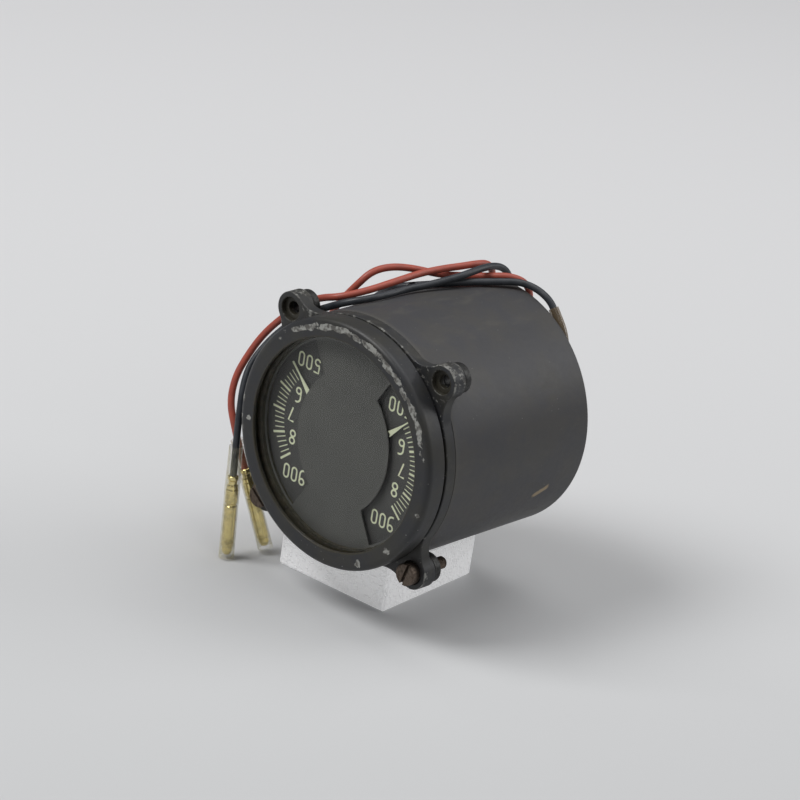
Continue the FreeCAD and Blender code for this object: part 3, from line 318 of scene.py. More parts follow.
def bezel_finish():
    """Bezel: a ragged line of chips along its front edge over the top, and a few spots elsewhere."""
    finish = Finish("bezel_enamel")
    radius = finish.radius()
    front = finish.y.rise(BEZEL_FRONT + 3.0, BEZEL_FRONT + 1.6)
    wander = finish.noise(0.1, 2.0, seed=8) * 3.0 + 35.9
    band = (radius - wander).size().rise(1.9, 0.5) * front
    top = finish.facing(0.309, 0.951).rise(0.3, 0.8)
    left = finish.facing(-0.996, -0.08).rise(0.955, 0.99) * radius.rise(37.6, 38.6) * front
    chips = finish.noise(0.33, 5.0, 0.58, seed=1) + finish.noise(1.3, 4.0, 0.6, seed=3) * 0.22
    wear = (chips + band * top * 0.36 + left * 0.22 + band * 0.05 - 0.9).rise(0.0, 0.04)
    for number, (x, z, size) in enumerate(BEZEL_SPOTS):
        wear = wear.largest(patch(finish, x, z, size, 90 + number) * front)
    nicks = finish.specks(0.55, 0.11, seed=6) * finish.noise(0.2, 2.0, seed=7).rise(0.52, 0.6)
    dust = finish.noise(0.35, 4.0, seed=9).rise(0.58, 0.8) * 0.35
    grime = radius.rise(34.9, 34.1) * finish.noise(0.5, 4.0, seed=10).rise(0.25, 0.5)
    worn_enamel(finish, ENAMEL, ENAMEL_WARM, wear.largest(nicks * 0.8), dust, grime * 0.85)
    return finish.material


def flange_finish():
    """Flange and lugs: paint rubbed off the rims of the lugs and the ring's upper edge."""
    finish = Finish("flange_enamel")
    radius = finish.radius()
    across = finish.x.size() - LUG_PLACE
    up = finish.z.size() - LUG_PLACE
    from_lug = (across * across + up * up).power(0.5)
    rims = from_lug.rise(4.9, 5.4).largest(from_lug.rise(4.3, 3.9)) * finish.y.rise(1.2, 0.2)
    sides = from_lug.rise(5.2, 5.45) * radius.rise(45.5, 48.5)
    ring_edge = radius.rise(39.0, 39.8) * (finish.z / radius).rise(0.2, 0.95)
    chips = finish.noise(0.55, 5.0, 0.62, seed=11) + finish.noise(1.8, 3.0, seed=12) * 0.3
    wear = (chips + rims * 0.19 + sides * 0.22 + ring_edge * 0.08 - 0.93).rise(0.0, 0.1) * 0.6
    dust = finish.noise(0.3, 4.0, seed=13).rise(0.5, 0.8) * 0.4
    grime = from_lug.rise(4.2, 3.6) * 0.7
    worn_enamel(finish, ENAMEL, ENAMEL_WARM, wear, dust, grime)
    return finish.material


# Middle of the tan scratch on the case, as (y, z)
SCRATCH = (50.5, -14.0)


def case_finish():
    """Case: satin enamel with faint scuffs, a dusty line behind the flange and one tan scratch."""
    finish = Finish("case_enamel")
    scuffs = finish.noise(0.22, 5.0, 0.6, stretch=(1, 0.35, 1), seed=21).rise(0.54, 0.76) * 0.42
    front_line = finish.y.rise(CASE_FRONT + 2.2, CASE_FRONT + 0.2) * 0.35
    specks = finish.specks(0.45, 0.08, seed=23) * finish.noise(0.12, 2.0, seed=24).rise(0.48, 0.6)
    right = finish.y - SCRATCH[0]
    up = finish.z - SCRATCH[1]
    across = right * 0.93 + up * 0.36
    along = up * 0.93 - right * 0.36
    ragged = finish.noise(0.9, 4.0, seed=25) * 2.4 - 1.2
    mark = (along + ragged * 0.5).size().rise(1.2, 0.5) * (across + ragged).size().rise(3.8, 2.4)
    # only on the right side
    mark = mark * finish.x.rise(20, 24)
    worn_enamel(finish, CASE_ENAMEL, CASE_WARM, specks * 0.5, front_line + scuffs, shine=0.4)
    plain = finish.shader.inputs["Base Color"].links[0].from_socket
    finish.colour(finish.mix(mark, plain, TAN))
    return finish.material


def cloudy_finish(name, roughness, scale, detail, seed, first, second):
    """Matt paint that wanders between two colours."""
    finish = Finish(name, roughness=roughness)
    finish.colour(finish.mix(finish.noise(scale, detail, seed=seed).rise(0.3, 0.7), first, second))
    return finish.material


def lume_finish():
    """Cream luminous paint, a little uneven."""
    finish = Finish("luminous_paint", roughness=0.75)
    stain = finish.noise(1.3, 4.0, seed=35)
    finish.colour(finish.mix(stain.rise(0.55, 0.8), LUME, (0.58, 0.58, 0.36)))
    finish.bump(finish.noise(5.0, 3.0, seed=36), 0.004)
    return finish.material


def edge_on(finish, blend):
    """0 where a surface faces the viewer, 1 where it is seen edge on."""
    weight = add_node(finish.tree, "ShaderNodeLayerWeight", {"Blend": blend})
    return Field(weight.outputs["Facing"])


def glass_finish():
    """Flat glass: clear where seen square on, a mirror with hazy spots at a glancing angle."""
    finish = Finish("window_glass", roughness=0.03, metallic=1.0)
    finish.colour((0.96, 0.97, 0.95))
    mirror = edge_on(finish, 0.5).power(4) * 0.9
    rim = finish.radius().rise(32.0, 34.5) * 0.03
    haze = finish.noise(0.16, 5.0, 0.6, seed=41).rise(0.42, 0.8)
    finish.drive("Alpha", (mirror + rim).smallest(1.0))
    finish.drive("Roughness", haze * 0.1 + rim * 5.0 + 0.03)
    return finish.material


# How metallic it is; noise, seed and range of the stains; noise, seed and depth of the grain
BRASS = (1.0, (0.3, 3.0, 0.5), 51, (0.5, 0.8), (1.2, 52, 0.03))
STEEL = (0.9, (1.1, 5.0, 0.6), 55, (0.4, 0.75), (3.0, 56, 0.008))


def metal_finish(name, kind, colour, dull, roughness):
    """Stained metal of one of the two kinds."""
    metallic, stains, seed, shown, (grain, grain_seed, depth) = kind
    finish = Finish(name, metallic=metallic)
    stain = finish.noise(*stains, seed=seed)
    finish.colour(finish.mix(stain.rise(*shown), colour, dull))
    finish.drive("Roughness", stain * 0.3 + roughness)
    finish.bump(finish.noise(grain, seed=grain_seed), depth)
    return finish.material


def wire_finish(name, colour, faded):
    """Insulation, faded in patches, with a little dust."""
    finish = Finish(name)
    fading = finish.noise(0.35, 4.0, seed=61)
    grime = finish.noise(1.8, 4.0, seed=62).rise(0.6, 0.85) * 0.5
    finish.colour(finish.mix(grime, finish.mix(fading.rise(0.3, 0.7), colour, faded), DUST))
    finish.drive("Roughness", fading * 0.25 + 0.32)
    finish.bump(finish.noise(2.4, 3.0, seed=63), 0.03)
    return finish.material


def clear_sleeve_finish(name, tint, body):
    """Thin sleeve with a yellowed film and a bright gloss; body is how much it hides all over."""
    finish = Finish(name, roughness=0.07)
    finish.colour(tint)
    rim = edge_on(finish, 0.35)
    film = finish.noise(0.5, 4.0, seed=71).rise(0.35, 0.8) * 0.13
    finish.drive("Alpha", (rim * 0.55 + film + body).smallest(1.0))
    finish.bump(finish.noise(0.8, 3.0, seed=72), 0.05)
    return finish.material


def resin_finish(name, colour, dark):
    """Laminate with a fine weave."""
    finish = Finish(name, roughness=0.45)
    weave = finish.noise(1.2, 5.0, stretch=(1, 1, 6), seed=81)
    finish.colour(finish.mix(weave.rise(0.35, 0.7), colour, dark))
    finish.bump(weave, 0.02)
    return finish.material


def rubber_finish():
    finish = Finish("gasket_rubber", roughness=0.8)
    finish.colour(finish.mix(finish.noise(3.0, seed=83), (0.012, 0.012, 0.012), (0.03, 0.03, 0.028)))
    return finish.material


def floor_finish():
    """Pale matt floor with painted shade: its colour darkens towards the camera and lightens away from it.
    """
    finish = Finish("pale_floor", roughness=0.9)
    away = finish.y * 0.71 - finish.x * 0.585
    # painted shade: the floor's colour runs from a darker grey near the camera to pale far away
    finish.colour(finish.mix(away.rise(-400, 900), (0.5, 0.507, 0.512), (0.84, 0.84, 0.85)))
    return finish.material


def block_finish():
    """Pale block with a fine grain, a little lit from within so that it stays pale."""
    finish = Finish("pale_block", roughness=0.95)
    grain = finish.specks(0.9, 0.5, seed=95)
    finish.colour(finish.mix(grain, (0.86, 0.86, 0.87), (0.92, 0.92, 0.93)))
    finish.bump(grain, 0.25)
    finish.drive("Emission Color", (1, 1, 1, 1))
    finish.drive("Emission Strength", 0.24)
    return finish.material


MATERIALS = {
    "bezel": bezel_finish(),
    "flange": flange_finish(),
    "case": case_finish(),
    # The dial's grey is darker than the mask's: partly its own paint, partly painted shade of the raised
    # mask over the windows
    "dial": cloudy_finish("dial_paint", 0.62, 0.12, 3.0, 31, (0.058, 0.058, 0.055), (0.066, 0.066, 0.062)),
    "mask": cloudy_finish("mask_paint", 0.58, 0.1, 4.0, 33, (0.078, 0.079, 0.072), (0.09, 0.091, 0.082)),
    "lume": lume_finish(),
    "spacer": cloudy_finish("stained_ring", 0.6, 0.5, 4.0, 37, (0.03, 0.028, 0.018), (0.058, 0.05, 0.03)),
    "glass": glass_finish(),
    "brass": metal_finish("stained_brass", BRASS, (0.8, 0.67, 0.3), (0.36, 0.29, 0.12), 0.02),
    "dull_brass": metal_finish("dull_brass", BRASS, (0.4, 0.28, 0.12), (0.13, 0.09, 0.05), 0.28),
    "screw": metal_finish("browned_steel", STEEL, (0.16, 0.125, 0.1), (0.055, 0.042, 0.034), 0.36),
    "steel": metal_finish("plain_steel", STEEL, (0.46, 0.46, 0.45), (0.2, 0.19, 0.18), 0.22),
    "dark_steel": metal_finish("dark_steel", STEEL, (0.06, 0.06, 0.059), (0.028, 0.028, 0.027), 0.34),
    "red_wire": wire_finish("red_insulation", (0.4, 0.082, 0.052), (0.34, 0.075, 0.052)),
    "black_wire": wire_finish("black_insulation", (0.02, 0.024, 0.03), (0.034, 0.038, 0.045)),
    "sleeve": clear_sleeve_finish("clear_sleeve", (0.66, 0.62, 0.42), 0.0),
    "guard": clear_sleeve_finish("brown_sleeve", (0.2, 0.145, 0.085), 0.45),
    "board": resin_finish("board_resin", (0.12, 0.055, 0.025), (0.06, 0.03, 0.016)),
    "card": resin_finish("card_resin", (0.3, 0.19, 0.09), (0.2, 0.12, 0.06)),
    "rubber": rubber_finish(),
    "aluminium": metal_finish("turned_aluminium", STEEL, (0.6, 0.6, 0.58), (0.42, 0.42, 0.41), 0.24),
    "copper": metal_finish("copper_winding", BRASS, (0.6, 0.25, 0.11), (0.35, 0.14, 0.07), 0.25),
    "floor": floor_finish(),
    "block": block_finish(),
}


# Mesh makers

# Edges sharper than this many degrees aren't smoothed
SHARP_ANGLE = 40.0


def keep(name, bm, material, body=BASE):
    """Turn a bmesh in millimetres into a piece that rides on a body."""
    bmesh.ops.remove_doubles(bm, verts=bm.verts, dist=1e-5)
    bmesh.ops.recalc_face_normals(bm, faces=bm.faces)
    bmesh.ops.scale(bm, vec=(MM, MM, MM), verts=bm.verts)
    mesh = bpy.data.meshes.new(name)
    bm.to_mesh(mesh)
    bm.free()
    mesh.shade_smooth()
    mesh.set_sharp_from_angle(angle=math.radians(SHARP_ANGLE))
    mesh.materials.append(MATERIALS[material])
    piece = add_object(name, mesh)
    weighted = piece.modifiers.new("weighted", "WEIGHTED_NORMAL")
    weighted.keep_sharp = True
    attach(piece, body)
    return piece


def evaluated_mesh(piece):
    """Mesh of a piece with its modifiers or its curve worked out."""
    graph = bpy.context.evaluated_depsgraph_get()
    return bpy.data.meshes.new_from_object(piece.evaluated_get(graph))


def soften(points, amount, steps=4):
    """Round the corners of a closed outline within its edges; a point's third number is its own amount."""
    count = len(points)
    result = []
    for i, point in enumerate(points):
        here = Vector(point[:2])
        before = Vector(points[i - 1][:2])
        after = Vector(points[(i + 1) % count][:2])
        limit = point[2] if len(point) > 2 else amount
        if limit == 0:
            result.append(here)
            continue
        come = before - here
        leave = after - here
        reach = min(limit, come.length * 0.45, leave.length * 0.45)
        start = here + come.normalized() * reach
        end = here + leave.normalized() * reach
        for step in range(steps + 1):
            part = step / steps
            result.append(start.lerp(here, part).lerp(here.lerp(end, part), part))
    return result


def add_lathe(bm, profile, x=0.0, z=0.0, segments=192, soft=0.2, steps=3):
    """Turn a closed profile of (radius, station) points about an axis along Y."""
    points = soften(profile, soft, steps=steps)
    angles = [TURN * k / segments for k in range(segments)]
    rings = []
    for radius, station in points:
        rings.append([bm.verts.new((x + radius * math.cos(a), station, z + radius * math.sin(a)))
                      for a in (angles if radius > 1e-6 else angles[:1])])
    for first, second in zip(rings, rings[1:] + rings[:1]):
        for k in range(segments):
            n = (k + 1) % segments
            corners = dict.fromkeys((first[k % len(first)], first[n % len(first)],
                                     second[n % len(second)], second[k % len(second)]))
            if len(corners) > 2:
                bm.faces.new(list(corners))


def lathe(name, profile, material, segments=192, soft=0.2, steps=3):
    """Piece turned about the middle."""
    bm = bmesh.new()
    add_lathe(bm, profile, segments=segments, soft=soft, steps=steps)
    return keep(name, bm, material)


def solid_disc(radius, front, back):
    """Profile of a plain disc."""
    return (0, front), (radius, front), (radius, back), (0, back)


def arc(centre, radius, start, end, count):
    """Points on an arc, by angles in degrees, ends included."""
    angles = [math.radians(start + (end - start) * k / count) for k in range(count + 1)]
    return [Vector((centre[0] + radius * math.cos(a), centre[1] + radius * math.sin(a))) for a in angles]


def circle(centre, radius, count):
    return arc(centre, radius, 0, 360, count)[:-1]


def vectors(*points):
    return [Vector(p) for p in points]


def left_of(way, distance):
    """Step to the left of a way."""
    return Vector((-way.y, way.x)).normalized() * distance


def inset(loop, distance):
    """Move each point of a closed loop to its left by a distance."""
    count = len(loop)
    return [loop[i] + left_of(loop[(i + 1) % count] - loop[i - 1], distance) for i in range(count)]


def add_plate(bm, outline, holes, front, back, edge=0.25, steps=3):
    """Flat plate across Y with round edges. Its outline runs anticlockwise and its holes clockwise."""
    angles = [math.pi / 2 * step / steps for step in range(steps + 1)]
    stations = [(edge * (1 - math.sin(a)), edge * (1 - math.cos(a))) for a in angles]
    levels = [(front + y, d) for d, y in stations] + [(back - y, d) for d, y in reversed(stations)]
    caps = {front: [], back: []}
    for loop in [outline] + list(holes):
        rings = [[bm.verts.new((p.x, depth, p.y)) for p in inset(loop, shift)] for depth, shift in levels]
        for first, second in zip(rings, rings[1:]):
            for k in range(len(loop)):
                n = (k + 1) % len(loop)
                bm.faces.new((first[k], first[n], second[n], second[k]))
        for ring, station in ((rings[0], front), (rings[-1], back)):
            caps[station] += [bm.edges.get((ring[k], ring[(k + 1) % len(ring)])) for k in range(len(ring))]
    for edges in caps.values():
        bmesh.ops.triangle_fill(bm, use_beauty=True, use_dissolve=False, edges=edges)


def reverse(loop):
    """The loop run the other way round, as a hole needs."""
    return loop[::-1]


# Bezel, glass, mask and dial

def make_bezel():
    """Bezel with a rounded front edge, a flat front and a straight wall down to the glass."""
    lip_back = GLASS_FRONT - 0.5
    inner = BEZEL_RADIUS - 1.6
    profile = (
        (OPENING_RADIUS, lip_back, 0.1),
        (OPENING_RADIUS, BEZEL_FRONT, 0.35),
        (BEZEL_RADIUS, BEZEL_FRONT, 2.2),
        (BEZEL_RADIUS, BEZEL_BACK, 0.3),
        (inner, BEZEL_BACK, 0.2),
        (inner, lip_back, 0),
    )
    bezel = lathe("bezel", profile, "bezel", segments=256, steps=8)
    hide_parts("bezel_ring")


def make_glass():
    glass = lathe("glass", solid_disc(GLASS_RADIUS, GLASS_FRONT, GLASS_BACK), "glass", soft=0.1)
    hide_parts("glass_window")


WINDOW_RIM = 32.8
# As parts of the rim: inner edge's middle and corner across, corner up, outer edge's end across
WINDOW_SHAPE = (0.582, 0.341, 0.567, 0.509)


def window_outline(side):
    """Outline of one window of the mask, anticlockwise."""
    middle, corner, high, end = (WINDOW_RIM * part for part in WINDOW_SHAPE)
    # the inner edge is the arc through the two corners and the middle point
    centre = (middle ** 2 - corner ** 2 - high ** 2) / (2 * (middle - corner))
    radius = middle - centre
    spread = math.degrees(math.asin(high / radius))
    outer = math.degrees(math.acos(end / WINDOW_RIM))
    points = arc((centre, 0), radius, spread, -spread, 40) + arc((0, 0), WINDOW_RIM, -outer, outer, 64)
    if side < 0:
        points = reverse(vectors(*((-p.x, p.y) for p in points)))
    return soften(points, 0.25, steps=2)


def make_mask():
    """Raised mask that covers the hubs and leaves a window on each side."""
    bm = bmesh.new()
    windows = [reverse(window_outline(side)) for side in (1, -1)]
    add_plate(bm, circle((0, 0), GLASS_RADIUS, 160), windows, MASK_FRONT, MASK_BACK, 0.12, 2)
    mask = keep("mask", bm, "mask")
    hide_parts("mask_plate")


def make_dial():
    dial = lathe("dial", solid_disc(GLASS_RADIUS, DIAL_FRONT, DIAL_BACK), "dial", soft=0.05)
    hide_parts("dial_plate")


# Height of the paint over the dial, of a stroke over the one it crosses, and of its round ends
PAINT_LIFT = 0.03
CROSSING_LIFT = 0.004
CAP_LIFT = 0.002


def add_stroke(bm, points, width, lift):
    """Flat painted line through points of the dial's plane, with round ends and joints."""
    half = width / 2
    station = DIAL_FRONT - lift
    pairs = []
    for i, point in enumerate(points):
        across = left_of(points[min(i + 1, len(points) - 1)] - points[max(i - 1, 0)], half)
        pairs.append([bm.verts.new((p.x, station, p.y)) for p in (point + across, point - across)])
    for (a, b), (c, d) in zip(pairs, pairs[1:]):
        bm.faces.new((a, c, d, b))
    for point, other in ((points[0], points[1]), (points[-1], points[-2])):
        away = math.degrees(math.atan2(point.y - other.y, point.x - other.x))
        cap = arc(point, half, away - 90, away + 90, 8)
        bm.faces.new([bm.verts.new((p.x, station - CAP_LIFT, p.y)) for p in cap])


DIGIT_HIGH = 5.0
DIGIT_WIDE = 2.6
DIGIT_STROKE = 0.62
DIGIT_PITCH = 3.4
# Middle of each numeral on the right scale; those on the left scale lie opposite
NUMERALS = {
    "500": (19.4, 19.1), "6": (22.0, 7.2), "7": (23.7, -0.2), "8": (22.0, -7.4), "900": (19.1, -19.1),
}


def digit(sign):
    """Strokes of one digit in a box around the origin, upright."""
    w = (DIGIT_WIDE - DIGIT_STROKE) / 2
    h = (DIGIT_HIGH - DIGIT_STROKE) / 2
    round_top = h - w
    if sign == "0":
        half = arc((0, round_top), w, 0, 180, 14)
        return [half + arc((0, -round_top), w, 180, 360, 14) + vectors((w, round_top))]
    if sign == "5":
        bowl = arc((-0.05, -h + w * 1.02), w * 1.02, 130, -150, 20)
        return [vectors((w, h), (-w * 0.8, h), (-w * 0.9, 0.15)) + bowl]
    if sign == "6":
        ring = arc((0, -h + w), w, 0, 360, 24)
        tail = arc((w * 0.5, round_top - 0.1), w * 1.5, 80, 180, 14) + vectors((-w, -h + w))
        return [ring, tail]
    if sign == "7":
        return [vectors((-w, h), (w, h), (-w * 0.3, -h))]
    if sign == "8":
        top = h * 0.46
        return [arc((0, h - top), top, 0, 360, 24), arc((0, -h + w), w, 0, 360, 24)]
    # 9 is 6 upside down
    return [[-p for p in stroke] for stroke in digit("6")]


def make_numerals():
    """Numerals of both scales. They stand upside down as the gauge lies."""
    bm = bmesh.new()
    for side in (-1, 1):
        for text, (across, up) in NUMERALS.items():
            for place, sign in enumerate(text):
                shift = (place - (len(text) - 1) / 2) * DIGIT_PITCH
                for number, stroke in enumerate(digit(sign)):
                    # half a turn puts the text upside down
                    points = [Vector((side * across - shift - p.x, up - p.y)) for p in stroke]
                    add_stroke(bm, points, DIGIT_STROKE, PAINT_LIFT + number * CROSSING_LIFT)
    numerals = keep("numerals", bm, "lume")


# Half the angle between the marks of 500 and 900, seen from the pointer's axis
SCALE_HALF = 41.2
MARK_INNER = 19.5
# Outer end and width of the scale marks: the one of 500, the other hundreds, the rest
FIRST_MARK = (25.4, 0.4)
HUNDRED_MARK = (24.5, 0.75)
SMALL_MARK = (23.4, 0.34)


def make_ticks():
    """Scale marks: one each 20 degrees of temperature, with a broad one each hundred."""
    bm = bmesh.new()
    for side in (-1, 1):
        for mark in range(21):
            angle = math.radians(SCALE_HALF * (1 - mark / 10))
            outer, width = FIRST_MARK if mark == 0 else HUNDRED_MARK if mark % 5 == 0 else SMALL_MARK
            start, end = (Vector((side * (PIVOT + r * math.cos(angle)), r * math.sin(angle)))
                          for r in (MARK_INNER, outer))
            across = left_of(end - start, width / 2)
            corners = [start + across, end + across, end - across, start - across]
            bm.faces.new([bm.verts.new((p.x, DIAL_FRONT - PAINT_LIFT, p.y)) for p in corners])
    ticks = keep("scale_marks", bm, "lume")


# Degrees up from the scale's middle
POINTER_REST = 44.0
POINTER_THICK = 0.3
HUB_RADIUS = 1.4
HUB_THICK = 0.7
# Outlines: along the pointer from its axis, and across it
POINTER_ARM = (
    (-3.9, -1.0), (0, -1.8), (2.0, -0.75), (14.4, -0.62), (14.4, 0.62), (2.0, 0.75), (0, 1.8), (-3.9, 1.0),
    (-5.4, 0.6), (-5.4, -0.6),
)
POINTER_WEDGE = ((13.7, -0.95), (20.4, -0.27), (25.2, -0.2), (25.2, 0.2), (20.4, 0.27), (13.7, 0.95))


def lay_pointer(outline, side):
    """Outline of a pointer, turned to its rest on one side of the dial."""
    turn = math.radians(POINTER_REST)
    laid = [
        Vector((side * (PIVOT + a * math.cos(turn) - b * math.sin(turn)),
                a * math.sin(turn) + b * math.cos(turn)))
        for a, b in outline
    ]
    return laid if side > 0 else reverse(laid)


def make_pointer(word, side):
    """Pointer of one side: dark arm with its hub, and a luminous wedge with a fine tip."""
    front = ends("pointer_" + word)[0].y
    back = front + POINTER_THICK
    bm = bmesh.new()
    add_plate(bm, lay_pointer(soften(POINTER_ARM, 0.5, steps=3), side), [], front, back, 0.06, 1)
    add_lathe(bm, solid_disc(HUB_RADIUS, front, front + HUB_THICK), side * PIVOT, 0, 48, 0.1)
    dark = keep("pointer_arm_" + word, bm, "dial", word + "_rotor")
    bm = bmesh.new()
    add_plate(bm, lay_pointer(soften(POINTER_WEDGE, 0.25, steps=2), side), [], front, back, 0.08, 2)
    light = keep("pointer_wedge_" + word, bm, "lume", word + "_rotor")
    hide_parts("pointer_" + word)


# Flange, lugs, nuts and screws

FLANGE_RADIUS = 40.0
# Radius of the hollow arcs between the ring and its lugs
BLEND = 10.0


def flange_outline():
    """Ring with four lugs, each joined to it by hollow arcs, anticlockwise."""
    rim = FLANGE_RADIUS + BLEND
    across = (rim ** 2 - (LUG_RADIUS + BLEND) ** 2 + LUG_REACH ** 2) / (2 * LUG_REACH)
    up = math.sqrt(rim ** 2 - across ** 2)
    ring_angle = math.degrees(math.atan2(up, across))
    lug_angle = math.degrees(math.atan2(up, across - LUG_REACH))
    first = arc((across, -up), BLEND, 180 - ring_angle, 180 - lug_angle, 10)
    tip = arc((LUG_REACH, 0), LUG_RADIUS, -lug_angle, lug_angle, 28)
    last = arc((across, up), BLEND, 180 + lug_angle, 180 + ring_angle, 10)
    points = []
    for middle in (45, 135, 225, 315):
        turn = Matrix.Rotation(math.radians(middle), 2)
        points += [turn @ p for p in first[1:] + tip[1:] + last[1:]]
        points += arc((0, 0), FLANGE_RADIUS, middle + ring_angle, middle + 90 - ring_angle, 18)[1:]
    return points


LUGS = [(sx * LUG_PLACE, sz * LUG_PLACE) for sx, sz in ((1, 1), (-1, 1), (-1, -1), (1, -1))]


def make_flange():
    """Lugged ring, with a spigot inside the bezel and a skirt inside the case."""
    bm = bmesh.new()
    opening = 36.8
    holes = [reverse(circle((0, 0), opening, 128))]
    holes += [reverse(circle(place, SINK_RADIUS, 48)) for place in LUGS]
    add_plate(bm, flange_outline(), holes, 0.0, WEB_THICK, 0.35)
    # floor of each counterbore, and the lug's rear with the round pocket for the nut's neck
    inner = SINK_RADIUS + 0.3
    joint = WEB_THICK - 0.4
    pocket, pocket_floor = 3.05, LUG_DEPTH - 1.5
    lug = (
        (HOLE_RADIUS, SINK_DEPTH), (inner, SINK_DEPTH), (inner, joint), (LUG_RADIUS, joint),
        (LUG_RADIUS, LUG_DEPTH), (pocket, LUG_DEPTH), (pocket, pocket_floor), (HOLE_RADIUS, pocket_floor),
    )
    for x, z in LUGS:
        add_lathe(bm, lug, x, z, 64, 0.2)
    outer, spigot_inner, skirt_inner = 38.2, 36.75, 34.5
    front, step, back = -6.8, -1.0, 8.9
    add_lathe(bm, ((spigot_inner, front), (outer, front), (outer, 0.3), (outer, back), (skirt_inner, back),
                   (skirt_inner, step), (spigot_inner, step)))
    flange = keep("flange", bm, "flange")
    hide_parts("mounting_flange")


def make_nuts():
    """Round captive nut behind each lug."""
    bm = bmesh.new()
    bore, neck, outer = 2.05, 3.0, 4.8
    front, shoulder, back = 3.75, 5.9, 8.6
    profile = (
        (bore, front), (neck, front), (neck, shoulder), (outer, shoulder), (outer, back), (bore, back),
    )
    for x, z in LUGS:
        add_lathe(bm, profile, x, z, 72, 0.35)
    nuts = keep("captive_nuts_shaped", bm, "dark_steel")
    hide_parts("captive_nuts")


THREAD_PITCH = 0.7
SCREW_RADIUS = 2.0
SCREW_ROOT = 1.72
HEAD_RADIUS = 3.6
SLOT_HALF = 0.45
SLOT_DEPTH = 1.2


def thread(crest, root, start, end):
    """Profile of ridges between two stations."""
    points = []
    station = start
    while station < end:
        points += [(crest, station, 0), (root, station + THREAD_PITCH / 2, 0)]
        station += THREAD_PITCH
    return points


def half_head(x, z, lean):
    """Outline of one side of a slotted head, anticlockwise."""
    edge = math.degrees(math.asin(SLOT_HALF / HEAD_RADIUS))
    points = soften(arc((0, 0), HEAD_RADIUS, edge, 180 - edge, 40), 0.3, steps=3)
    turn = Matrix.Rotation(math.radians(lean), 2)
    return [turn @ p + Vector((x, z)) for p in points]


def make_screws():
    """Slotted screws in the two lower lugs, with washers and threaded ends."""
    head_front, tip = (corner.y for corner in ends("mounting_screws"))
    under = 0.0
    floor = head_front + SLOT_DEPTH
    core = HEAD_RADIUS - 0.05
    profile = [(0, floor, 0), (core, floor, 0), (core, under, 0), (SCREW_RADIUS, under, 0)]
    profile += thread(SCREW_RADIUS, SCREW_ROOT, 6.0, tip - 0.9)
    profile += [(SCREW_RADIUS, tip - 0.6, 0), (1.6, tip, 0.1), (0, tip, 0)]
    bore, rim = 2.05, 3.4
    ring = ((bore, under), (rim, under), (rim, SINK_DEPTH), (bore, SINK_DEPTH))
    washers = bmesh.new()
    for word, (x, z), lean in (("left", LUGS[2], -35), ("right", LUGS[3], 75)):
        bm = bmesh.new()
        add_lathe(bm, profile, x, z, 64, 0.3)
        for half in (0, 180):
            add_plate(bm, half_head(x, z, lean + half), [], head_front, under, 0.35)
        screw = keep("screw_" + word, bm, "screw")
        if word == "left":
            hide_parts("mounting_screws")
        add_lathe(washers, ring, x, z, 64, 0.15)
    washer = keep("washers", washers, "steel")
    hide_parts("screw_washers")


# Case and terminals

def make_case():
    """Round can, open at the front, with an opening for the studs at the rear."""
    opening = 25.5
    wall = 1.5
    inner = CASE_RADIUS - wall
    profile = (
        (inner, CASE_FRONT, 0.1),
        (CASE_RADIUS, CASE_FRONT, 0.25),
        (CASE_RADIUS, CASE_BACK, 1.1),
        (opening, CASE_BACK, 0.3),
        (opening, CASE_BACK - wall, 0),
        (inner, CASE_BACK - wall, 0),
    )
    case = lathe("case", profile, "case", segments=256, steps=6)
    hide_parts("case_shell")


def make_small_screws(name, node, places, tip):
    """Small cheese-head screws on the rear wall, each with its own slot direction."""
    shank, radius = 1.0, 1.7
    top = CASE_BACK + 1.1
    slot = (5.0, 1.0, 0.5)
    profile = (
        (0, tip, 0), (shank, tip, 0), (shank, CASE_BACK, 0), (radius, CASE_BACK, 0.05), (radius, top, 0.25),
        (0, top, 0),
    )
    bm = bmesh.new()
    for x, z in places:
        add_lathe(bm, profile, x, z, 40, 0.2)
    screws = keep(name, bm, "steel")
    tool_mesh = bmesh.new()
    for number, (x, z) in enumerate(places):
        bmesh.ops.create_cube(tool_mesh, size=1.0, matrix=Matrix.Translation((x, top, z))
                              @ Matrix.Rotation(math.radians(37 + 55 * number), 4, "Y")
                              @ Matrix.Diagonal((*slot, 1)))
    tool = keep(name + "_tool", tool_mesh, "steel")
    cut = screws.modifiers.new("slots", "BOOLEAN")
    cut.operation = "DIFFERENCE"
    cut.object = tool
    cut.solver = "EXACT"
    mesh = evaluated_mesh(screws)
    screws.modifiers.clear()
    screws.data = mesh
    bpy.data.objects.remove(tool)
    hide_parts(node)


# Place across of each lead's stud
STUDS = {"red_front": -15.0, "black_front": -5.0, "red_rear": 5.0, "black_rear": 15.0}
STUD_HEIGHT = 6.0
STUD_RADIUS = 1.9
STUD_ROOT = 1.65
NUT_THICK = 2.0
NUT_REACH = 7.0 / 2 / math.cos(math.radians(30))
TAG_THICK = 0.8


def stud_hole(x, z):
    """Round hole of a piece that sits on a stud."""
    return reverse(circle((x, z), STUD_RADIUS, 32))


def make_board():
    """Round terminal board that closes the case's rear opening from inside."""
    bm = bmesh.new()
    holes = [stud_hole(x, STUD_HEIGHT) for x in STUDS.values()]
    add_plate(bm, circle((0, 0), BOARD_RADIUS, 160), holes, BOARD_FRONT, BOARD_BACK, 0.3)
    board = keep("board", bm, "board")
    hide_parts("terminal_board")


